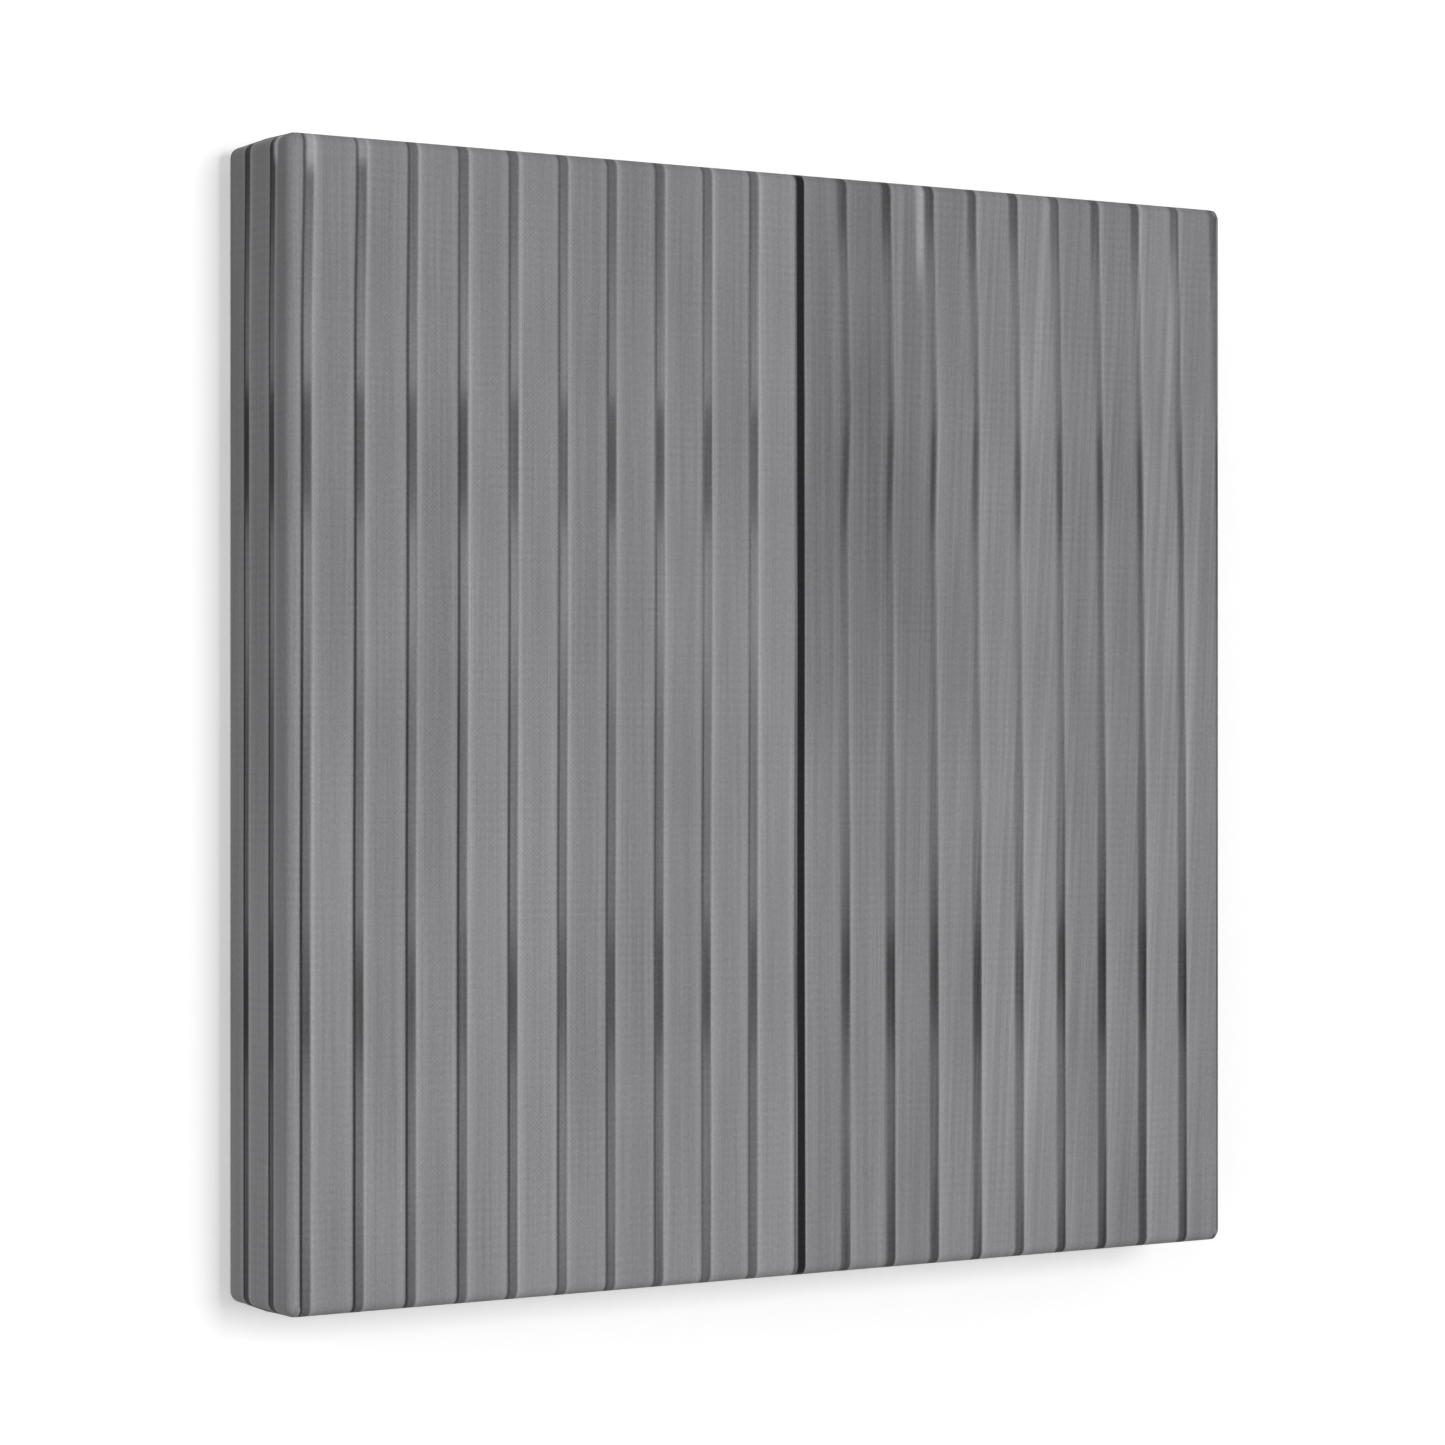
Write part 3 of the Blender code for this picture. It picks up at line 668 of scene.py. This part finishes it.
    def worn_ends(self, dark, light):
        """Worn ends at the top edge: bands exp(-x^4) wide that fade downwards."""
        for tick_place, length, level in TICKS:
            sideways = self.scaled(self.place, 1 / TICK_WIDTH, -tick_place / TICK_WIDTH)
            square = self.times(sideways, sideways)
            band = self.math("EXPONENT", self.times(square, square, -1.0))
            worn = self.times(band, self.smooth(self.from_top, length, 0.4 * length))
            dark = self.times(dark, self.scaled(worn, -TICK_CLEARS, 1.0))
            light = self.scaled(worn, level, light)
        return dark, light

    def slats(self):
        """Tone between the grooves: brush strokes, clouds and a chance tone for each slat."""
        v = self.v
        brush = self.scaled(self.beside(140, 190), self.scaled(v, -0.05), self.u)
        brushed = self.grain(brush, v, (900.0, 7.0), 3.0, 0.6, 0.2)
        fine = self.grain(brush, v, (2600.0, 24.0), 2.0, 0.6)
        gleam = self.smooth(self.grain(brush, v, (330.0, 6.0), 1.0, layer=4.7), 0.58, 0.74)
        cloud = self.grain(self.board, v, (5.3, 11.0))
        patch = self.grain(self.u, v, (60.0, 22.0))
        chance = self.total(self.board, BOARD_SEED)
        plank = self.add("TexWhiteNoise", {"W": chance}, noise_dimensions="1D").outputs["Value"]
        lower = self.below(70, 165)
        return self.total(
            self.settings.slat_tone,
            self.times(self.centred(brushed, 1.0), self.scaled(self.right, 0.05, 0.085)),
            self.centred(fine, 0.10),
            self.times(gleam, self.scaled(self.right, 0.04, 0.005)),
            self.centred(cloud, 0.08),
            self.centred(patch, 0.05),
            self.centred(plank, 0.045),
            self.scaled(self.shade, -0.038),
            self.centred(lower, 0.022),
            self.times(self.round_the_side, self.scaled(lower, 0.038, -0.029)),
        )

    def tone(self):
        """Slats, grooves and the black gap together."""
        halves = zip(self.left_groove(), self.right_groove())
        dark, light = (self.blend(self.right, left, right) for left, right in halves)
        dark, light = self.worn_ends(dark, light)
        tone = self.total(self.slats(), self.math("SUBTRACT", light, dark))
        gap_lean = self.scaled(self.down, -0.35 * MM, 0.35 * MM)
        in_gap = self.total(self.drifted, gap_lean, -self.settings.gap_place)
        black = self.smooth(self.math("ABSOLUTE", in_gap), 1.2 * MM, 0.75 * MM)
        return self.scaled(black, self.math("SUBTRACT", GAP_TONE, tone), tone)


def weave_height(graph, settings, u, v):
    """Plain weave: raised threads that cross over and under, with uneven yarn."""
    turn = FULL_TURN / settings.thread_pitch
    uneven = graph.grain(u, v, (260.0, 260.0))
    shift = graph.scaled(uneven, 1.6)
    warp, weft = (graph.math("SINE", graph.scaled(way, turn, shift)) for way in (u, v))
    ribs = graph.total(graph.math("ABSOLUTE", warp), graph.math("ABSOLUTE", weft))
    return graph.total(graph.times(warp, weft, 0.5), graph.scaled(ribs, 0.35), graph.scaled(uneven, 0.4))


def weave_tone(graph, settings, u, v):
    """Small tone of the weave: uneven specks, and faint lines between pairs of threads both ways."""
    turn = FULL_TURN / settings.thread_pitch
    speck = graph.grain(u, v, (1500.0, 1250.0), 2.0, 0.7)
    patchy = graph.grain(u, v, (60.0, 60.0))
    warp, weft = (graph.math("SINE", graph.scaled(way, turn)) for way in (u, v))
    pair_across, pair_up = (graph.math("SINE", graph.scaled(way, turn / 2)) for way in (u, v))
    cross = graph.times(warp, weft, 0.003)
    lines = graph.total(graph.scaled(pair_across, 0.006), graph.scaled(pair_up, 0.007), cross)
    strength = graph.math("MULTIPLY_ADD", patchy, 4.0, -1.6, clamp=True)
    return graph.total(graph.centred(speck, 0.11), graph.times(lines, strength))


def yarn_tone(graph, u, v, relief):
    """Uneven yarn, from 0 to 1: its relief, and long streaks of lighter and darker thread both ways."""
    upright = graph.grain(u, v, (1100.0, 22.0), 2.0, 0.6)
    level = graph.grain(u, v, (22.0, 1100.0), 2.0, 0.6)
    slub = graph.scaled(graph.total(upright, level), 2.2, -2.2)
    return graph.math("MULTIPLY_ADD", slub, 0.30, relief, clamp=True)


def printed_cotton(settings):
    """Matt grey print on primed cotton. Past the bleed on the hem the primer shows."""
    graph = SlatPrint(settings, Roughness=0.82, Specular_IOR_Level=0.18, Sheen_Weight=0.04)
    between_threads = (0.60, 0.59, 0.56, 1.0)
    u, v = graph.u, graph.v
    height = weave_height(graph, settings, u, v)
    tone = graph.total(graph.tone(), weave_tone(graph, settings, u, v))
    grey = graph.add("Gamma", {"Color": tone, "Gamma": DISPLAY_GAMMA}).outputs["Color"]
    cool = graph.add("VectorMath", {0: grey, 1: COOL_TINT}, operation="MULTIPLY").outputs["Vector"]
    past_side = graph.total(graph.math("ABSOLUTE", u), -SHEET_WIDTH / 2)
    past_end = graph.total(graph.math("ABSOLUTE", v), -SHEET_HEIGHT / 2)
    past = graph.math("MAXIMUM", past_side, past_end)
    ragged = graph.scaled(graph.grain(u, v, (300.0, 300.0)), 0.5 * MM, past)
    limit = SHEET_DEPTH + settings.bleed
    margin = graph.smooth(ragged, limit, limit + 0.4 * MM)
    soil = graph.grain(u, v, (60.0, 60.0), 4.0)
    coat = graph.mix(graph.scaled(soil, 0.35), rgba(settings.primer), rgba(settings.cotton))
    thread = yarn_tone(graph, u, v, graph.scaled(height, 0.4, 0.2))
    primer = graph.mix(0.85, coat, graph.mix(graph.scaled(thread, 0.5), between_threads, coat))
    graph.surface("Base Color", graph.mix(margin, cool, primer))
    graph.bump(height, 0.06 * MM, 0.6)
    return graph.owner


def bare_cotton(settings):
    """The unpainted inside of the cloth: cream cotton of uneven yarn, with a few dark seed flecks."""
    graph = Graph("bare_cotton", Roughness=0.9, Specular_IOR_Level=0.15, Sheen_Weight=0.1)
    dark_yarn, pale_yarn = (0.54, 0.47, 0.35, 1.0), (0.80, 0.74, 0.62, 1.0)
    seed = (0.30, 0.23, 0.13, 1.0)
    u, v = flat_place(graph)
    height = weave_height(graph, settings, u, v)
    fleck = graph.smooth(graph.grain(u, v, (420.0, 420.0), 3.0, 0.6), 0.69, 0.76)
    cloud = graph.grain(u, v, (25.0, 25.0), 3.0)
    yarn = yarn_tone(graph, u, v, graph.scaled(height, 0.45, 0.28))
    cloth = graph.mix(yarn, dark_yarn, pale_yarn)
    shaded = graph.mix(graph.scaled(cloud, 0.35), cloth, rgba(settings.cotton))
    graph.surface("Base Color", graph.mix(graph.scaled(fleck, 0.6), shaded, seed))
    graph.bump(height, 0.15 * MM, 0.9)
    return graph.owner


def lengthwise(along, long_scale, cross_scale):
    """Scales of a grain that runs along X or Z."""
    return tuple(long_scale if axis == along else cross_scale for axis in "XYZ")


def pine(settings, name, along):
    """Planed pine: rings about a far pith, drawn out along the bar, each with a thin dark edge."""
    graph = Graph(name, Roughness=0.58, Specular_IOR_Level=0.3)
    to_pith = 55 * MM
    tan, pale_fibre = (0.60, 0.40, 0.21, 1.0), (0.83, 0.66, 0.44, 1.0)
    own = graph.own()
    drawn_out = graph.stretched(own, lengthwise(along, 3.0, 40.0))
    parts = graph.split(own)
    cross = parts["Z" if along == "X" else "X"]
    deep = graph.total(parts["Y"], to_pith)
    radius = graph.math("SQRT", graph.total(graph.times(cross, cross), graph.times(deep, deep)))
    bent = graph.scaled(graph.noise(drawn_out, 1.0, 3.0, 0.55), 16 * MM, radius)
    rings = graph.math("FRACT", graph.scaled(bent, 1 / settings.ring_pitch))
    late = graph.ramp(rings, [(0.0, 0.0), (0.45, 0.12), (0.86, 0.9), (0.94, 1.0), (1.0, 0.0)], "LINEAR")
    fibre = graph.noise(graph.stretched(own, lengthwise(along, 25.0, 1500.0)), 1.0, 3.0, 0.6)
    cloud = graph.noise(drawn_out, 2.2, 2.0)
    wood = graph.mix(graph.scaled(late, 0.85), rgba(settings.pine_light), rgba(settings.pine_dark))
    toned = graph.mix(graph.scaled(cloud, 0.35), wood, tan)
    graph.surface("Base Color", graph.mix(graph.scaled(fibre, 0.6, -0.15), toned, pale_fibre))
    graph.surface("Roughness", graph.scaled(fibre, 0.25, 0.48))
    graph.bump(graph.total(graph.scaled(fibre, 0.7), graph.scaled(late, 0.3)), 0.08 * MM, 0.5)
    return graph.owner


def beech(settings, name, along):
    """Sawn beech: even pinkish wood with short dark flecks along the grain."""
    graph = Graph(name, Roughness=0.6, Specular_IOR_Level=0.3)
    pale, dark = (0.74, 0.55, 0.36, 1.0), (0.36, 0.20, 0.10, 1.0)
    own = graph.own()
    fleck = graph.noise(graph.stretched(own, lengthwise(along, 180.0, 1100.0)), 1.0, 2.0)
    grain = graph.noise(graph.stretched(own, lengthwise(along, 18.0, 420.0)), 1.0, 3.0, 0.6)
    wood = graph.mix(graph.scaled(grain, 0.8), rgba(settings.beech), pale)
    graph.surface("Base Color", graph.mix(graph.scaled(graph.smooth(fleck, 0.56, 0.70), 0.45), wood, dark))
    graph.bump(grain, 0.06 * MM, 0.5)
    return graph.owner


def plated_steel(name, colour, wear):
    """Plated steel: drawn streaks, dull patches and small pits."""
    graph = Graph(name, Metallic=1.0)
    own = graph.own()
    streak = graph.noise(graph.stretched(own, (2500.0, 400.0, 400.0)), 1.0, 2.0)
    patch = graph.noise(own, 220.0, 4.0, 0.6)
    dull = tuple(0.55 * value for value in colour)
    graph.surface("Base Color", graph.mix(graph.scaled(patch, wear), rgba(colour), rgba(dull)))
    graph.surface("Roughness", graph.scaled(patch, 0.3, graph.scaled(streak, 0.15, 0.15)))
    graph.bump(graph.total(streak, patch), 0.02 * MM, 0.4)
    return graph.owner


def soft_rubber(settings):
    """Matt moulded rubber with fine grain and a little dust."""
    graph = Graph("soft_rubber")
    dust_colour = (0.24, 0.23, 0.21, 1.0)
    own = graph.own()
    grain = graph.noise(own, 1800.0, 3.0)
    dust = graph.smooth(graph.noise(own, 260.0, 4.0, 0.6), 0.52, 0.8)
    graph.surface("Base Color", graph.mix(graph.scaled(dust, 0.3), rgba(settings.rubber), dust_colour))
    graph.surface("Roughness", graph.scaled(grain, 0.25, 0.5))
    graph.bump(grain, 0.03 * MM, 0.5)
    return graph.owner


def add_turned(name, profile, centre, sharp, steps=48):
    """A closed profile of (radius, depth) turned about a centre: (r cos t, depth, r sin t)."""
    angle = np.linspace(0, FULL_TURN, steps + 1)
    radius, depth = np.asarray(profile).T[:, :, None]
    x = centre[0] + radius * np.cos(angle)
    z = centre[2] + radius * np.sin(angle)
    return add_grid(name, np.stack([x, np.broadcast_to(depth, x.shape), z], axis=-1), sharp=sharp)


def staple_path(crown, leg, bend, steps):
    """Middle line of a staple's wire in (along, depth): down one leg, across the crown, up the other."""
    turn = np.linspace(0, QUARTER, steps)
    half = crown / 2
    left = np.stack([-half + bend - bend * np.cos(turn), -bend + bend * np.sin(turn)], axis=-1)
    right = np.stack([half - bend + bend * np.sin(turn), -bend + bend * np.cos(turn)], axis=-1)
    return np.concatenate([[(-half, -leg)], left, right, [(half, -leg)]])


def wire_section(width, thickness, rounding, steps):
    """A flat wire's section: a rectangle with round corners, as a closed loop."""
    turn = np.linspace(0, QUARTER, steps)
    loop = []
    for index, (a, b) in enumerate(((1, 1), (-1, 1), (-1, -1), (1, -1))):
        angle = turn + index * QUARTER
        centre = np.array([a * (width / 2 - rounding), b * (thickness / 2 - rounding)])
        loop.append(centre + rounding * np.stack([np.cos(angle), np.sin(angle)], axis=-1))
    loop = np.concatenate(loop)
    return np.concatenate([loop, loop[:1]])


def sweep(path, section):
    """A section carried along a flat path: path + thickness * normal, with the width straight up.

    Returns (along, depth, width) for each path point and section point, with both ends closed on
    the path.
    """
    heading = np.gradient(path, axis=0)
    heading /= np.linalg.norm(heading, axis=1)[:, None]
    normal = np.stack([-heading[:, 1], heading[:, 0]], axis=-1)
    flat = path[:, None, :] + section[None, :, 1:2] * normal[:, None, :]
    width = np.broadcast_to(section[None, :, :1], (*flat.shape[:2], 1))
    body = np.concatenate([flat, width], axis=-1)
    first = np.broadcast_to(np.append(path[0], 0.0), body[:1].shape)
    last = np.broadcast_to(np.append(path[-1], 0.0), body[:1].shape)
    return np.concatenate([first, body, last])


class DressOperator(bpy.types.Operator):
    """Shared options of the operators."""

    bl_options = {"REGISTER", "UNDO"}


class CANVAS_OT_sheet(DressOperator):
    """Make the printed sheet with its corner folds"""

    bl_idname = "stretched_canvas.sheet"
    bl_label = "Printed sheet"

    def execute(self, context):
        settings = context.scene.stretched_canvas.canvas
        print_finish = printed_cotton(settings)
        sheet = dress(build_sheet(settings), "canvas_cloth", "canvas", print_finish, bare_cotton(settings))
        for up, level in ((1, "top"), (-1, "bottom")):
            for across, hand in ((-1, "left"), (1, "right")):
                fold = build_fold(settings, f"corner_fold_{level}_{hand}", across, up)
                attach(fold, ROOT_BODY)
                fold.data.materials.append(print_finish)
        return {"FINISHED"}


class CANVAS_OT_bars(DressOperator):
    """Finish the four stretcher bars in pine"""

    bl_idname = "stretched_canvas.bars"
    bl_label = "Stretcher bars"

    def execute(self, context):
        settings = context.scene.stretched_canvas.fittings
        level = pine(settings, "pine_level", "X")
        upright = pine(settings, "pine_upright", "Z")
        for side in SIDES:
            bar = f"{side}_bar"
            paint(bar, level if side in LEVEL_SIDES else upright)
            soften(bar, settings.broken_edge)
        return {"FINISHED"}


class CANVAS_OT_keys(DressOperator):
    """Finish the corner keys in beech"""

    bl_idname = "stretched_canvas.keys"
    bl_label = "Corner keys"

    def execute(self, context):
        settings = context.scene.stretched_canvas.fittings
        finishes = {
            "across": beech(settings, "beech_level", "X"),
            "upright": beech(settings, "beech_upright", "Z"),
        }
        for level in LEVEL_SIDES:
            for hand in HANDS:
                for way, finish in finishes.items():
                    key = f"{level}_{hand}_key_{way}"
                    paint(key, finish)
                    soften(key, settings.broken_edge)
        return {"FINISHED"}


class CANVAS_OT_staples(DressOperator):
    """Make the staples of flat wire"""

    bl_idname = "stretched_canvas.staples"
    bl_label = "Staples"

    def execute(self, context):
        settings = context.scene.stretched_canvas.fittings
        zinc = plated_steel("zinc_wire", tuple(settings.zinc), 0.5)
        thickness, bend, rounding = 0.6 * MM, 0.7 * MM, 0.2 * MM
        for name in sorted(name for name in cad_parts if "_staple_" in name):
            low, high, centre = box_of(name)
            size = high - low
            along, across = (0, 2) if name.split("_")[0] in LEVEL_SIDES else (2, 0)
            path = staple_path(size[along] - thickness, size[1] - thickness / 2, bend, steps=6)
            grid = sweep(path, wire_section(size[across], thickness, rounding, steps=4))
            points = np.empty_like(grid)
            points[..., along] = centre[along] + grid[..., 0]
            points[..., 1] = high[1] - thickness / 2 + grid[..., 1]
            points[..., across] = centre[across] + grid[..., 2]
            dress(add_grid(f"wire_{name}", points, sharp=50), "staple_steel", name, zinc)
        return {"FINISHED"}


class CANVAS_OT_hanger(DressOperator):
    """Finish the sawtooth hanger and turn its nails"""

    bl_idname = "stretched_canvas.hanger"
    bl_label = "Hanger and nails"

    def execute(self, context):
        settings = context.scene.stretched_canvas.fittings
        plate = plated_steel("zinc_sheet", tuple(settings.hanger), 0.6)
        paint("sawtooth_hanger", plate)
        crown, lip, shank, point = 0.8 * MM, 0.05 * MM, 0.7 * MM, 2 * MM
        turn = np.linspace(QUARTER, 0, 9)
        for hand in HANDS:
            node = f"hanger_nail_{hand}"
            low, high, centre = box_of(node)
            head = (high[0] - low[0]) / 2
            rim = high[1] - crown
            under = rim - lip
            dome = np.stack([head * np.cos(turn), rim + crown * np.sin(turn)], axis=-1)
            stem = [(shank, under), (shank, low[1] + point), (0.0, low[1])]
            profile = np.concatenate([dome, [(head * 0.92, under)], stem])
            dress(add_turned(f"nail_{hand}", profile, centre, 40), "hanger_steel", node, plate)
        return {"FINISHED"}


class CANVAS_OT_bumpers(DressOperator):
    """Turn the two rubber bumpers"""

    bl_idname = "stretched_canvas.bumpers"
    bl_label = "Bumpers"

    def execute(self, context):
        settings = context.scene.stretched_canvas.fittings
        rubber = soft_rubber(settings)
        rounding, foot_height, foot_inset = 1.5 * MM, 0.3 * MM, 0.2 * MM
        turn = np.linspace(QUARTER, 0, 9)
        for hand in HANDS:
            node = f"bumper_{hand}"
            low, high, centre = box_of(node)
            radius = (high[0] - low[0]) / 2
            across = radius - rounding * (1 - np.cos(turn))
            rim = np.stack([across, high[1] - rounding * (1 - np.sin(turn))], axis=-1)
            foot = [(radius, low[1] + foot_height), (radius - foot_inset, low[1]), (0.0, low[1])]
            profile = np.concatenate([[(0.0, high[1])], rim, foot])
            dress(add_turned(f"rubber_{node}", profile, centre, 50), "bumper_rubber", node, rubber)
        return {"FINISHED"}


def aim(thing, target):
    """Turn a camera or lamp to look at a point."""
    way = Vector(target) - thing.location
    thing.rotation_mode = "QUATERNION"
    thing.rotation_quaternion = way.to_track_quat("-Z", "Y")


def add_lamp(name, place, size, power, target):
    """A soft lamp of a width and a height."""
    data = bpy.data.lights.new(name, "AREA")
    data.shape = "RECTANGLE"
    data.size, data.size_y = size
    data.energy = power
    lamp = link(name, data)
    lamp.location = place
    aim(lamp, target)


def backdrop_finish(name, level, shine, one_sided):
    """White paper that takes shadows.

    Its own glow shows to the camera and in reflections alone. A one-sided sheet is clear from behind.
    """
    graph = Graph(name)
    nodes = graph.tree.nodes
    nodes.remove(graph.shader)
    paper = graph.add("BsdfDiffuse", {"Color": (level, level, level, 1.0)}).outputs["BSDF"]
    glow = graph.add("Emission", {"Strength": graph.scaled(graph.seen(), shine)}).outputs["Emission"]
    made = graph.add("AddShader", {0: paper, 1: glow}).outputs[0]
    if one_sided:
        behind = graph.add("NewGeometry", {}).outputs["Backfacing"]
        clear = graph.add("BsdfTransparent", {}).outputs["BSDF"]
        made = graph.add("MixShader", {0: behind, 1: made, 2: clear}).outputs[0]
    graph.feed(nodes["Material Output"].inputs["Surface"], made)
    return graph.owner


def add_plane(name, corners, finish):
    """One flat sheet of the stage."""
    mesh = bpy.data.meshes.new(name)
    mesh.from_pydata(corners, [], [(0, 1, 2, 3)])
    mesh.materials.append(finish)
    made = link(name, mesh)
    return made


class CANVAS_OT_stage(DressOperator):
    """Set up camera, lamps, floor and backdrop"""

    bl_idname = "stretched_canvas.stage"
    bl_label = "Stage"

    def execute(self, context):
        settings = context.scene.stretched_canvas.stage
        scene = context.scene
        scene.view_settings.view_transform = "Standard"
        middle = (0.0, 0.0, SHEET_MIDDLE)
        self.add_camera(scene, settings)
        for index, (width, share) in enumerate(KEY_STRIPS):
            place = (KEY_LEFT + width / 2, KEY_DEPTH, KEY_LEVEL)
            add_lamp(f"key_lamp_{index + 1}", place, (width, KEY_HEIGHT), settings.key * share, middle)
        add_lamp("fill_lamp", FILL_PLACE, FILL_SIZE, settings.fill, middle)
        add_lamp("rear_lamp", REAR_PLACE, REAR_SIZE, settings.rear, middle)
        self.add_world(scene, settings)
        wall_place = BACK_OF_ALL + WALL_GAP
        floor_paper = backdrop_finish("floor_paper", settings.floor_colour, settings.floor_glow, False)
        wall_paper = backdrop_finish("wall_paper", settings.wall_colour, settings.wall_glow, True)
        corners = ((-1, -1), (1, -1), (1, 1), (-1, 1))
        floor_corners = [(x * STAGE_REACH, y * STAGE_REACH, FLOOR_LEVEL) for x, y in corners]
        add_plane("floor", floor_corners, floor_paper)
        heights = {-1: FLOOR_LEVEL, 1: STAGE_REACH}
        wall_corners = [(x * STAGE_REACH, wall_place, heights[z]) for x, z in corners]
        wall = add_plane("wall", wall_corners, wall_paper)
        wall.visible_diffuse = False
        wall.visible_glossy = False
        wall.visible_transmission = False
        wall.visible_shadow = False
        return {"FINISHED"}

    def add_camera(self, scene, settings):
        """A long lens level with the middle of the canvas, turned to the left as in the photograph."""
        data = bpy.data.cameras.new("camera")
        data.sensor_width = SENSOR_WIDTH
        data.lens = data.sensor_width * PHOTO_FOCAL / PHOTO_SIZE
        data.shift_y = PHOTO_DROP / PHOTO_SIZE
        camera = link("camera", data)
        camera.location = (CAMERA_LEFT, CAMERA_FRONT, SHEET_MIDDLE)
        turn = settings.view_turn
        aim(camera, camera.location + Vector((math.sin(turn), math.cos(turn), 0.0)))
        scene.camera = camera

    def add_world(self, scene, settings):
        """Even surroundings: white to the camera and in reflections, dimmer as light."""
        world = bpy.data.worlds.new("studio")
        scene.world = world
        graph = Graph("studio", world, Color=(1.0, 1.0, 1.0, 1.0))
        graph.surface("Strength", graph.blend(graph.seen(), settings.ambient, 1.0))


OPERATORS = (
    CANVAS_OT_sheet,
    CANVAS_OT_bars,
    CANVAS_OT_keys,
    CANVAS_OT_staples,
    CANVAS_OT_hanger,
    CANVAS_OT_bumpers,
    CANVAS_OT_stage,
)


class CANVAS_PT_panel(bpy.types.Panel):
    """Lists the pieces in the sidebar"""

    bl_idname = "CANVAS_PT_panel"
    bl_label = "Stretched canvas"
    bl_space_type = "VIEW_3D"
    bl_region_type = "UI"
    bl_category = "Canvas"

    def draw(self, context):
        for operator in OPERATORS:
            self.layout.operator(operator.bl_idname)


CLASSES = (CanvasSettings, FrameSettings, StageSettings, Settings, *OPERATORS, CANVAS_PT_panel)


def register():
    for made in CLASSES:
        bpy.utils.register_class(made)
    bpy.types.Scene.stretched_canvas = bpy.props.PointerProperty(type=Settings)


def unregister():
    del bpy.types.Scene.stretched_canvas
    for made in reversed(CLASSES):
        bpy.utils.unregister_class(made)


def main():
    register()
    for operator in OPERATORS:
        group, name = operator.bl_idname.split(".")
        getattr(getattr(bpy.ops, group), name)()


if __name__ == "__main__":
    main()
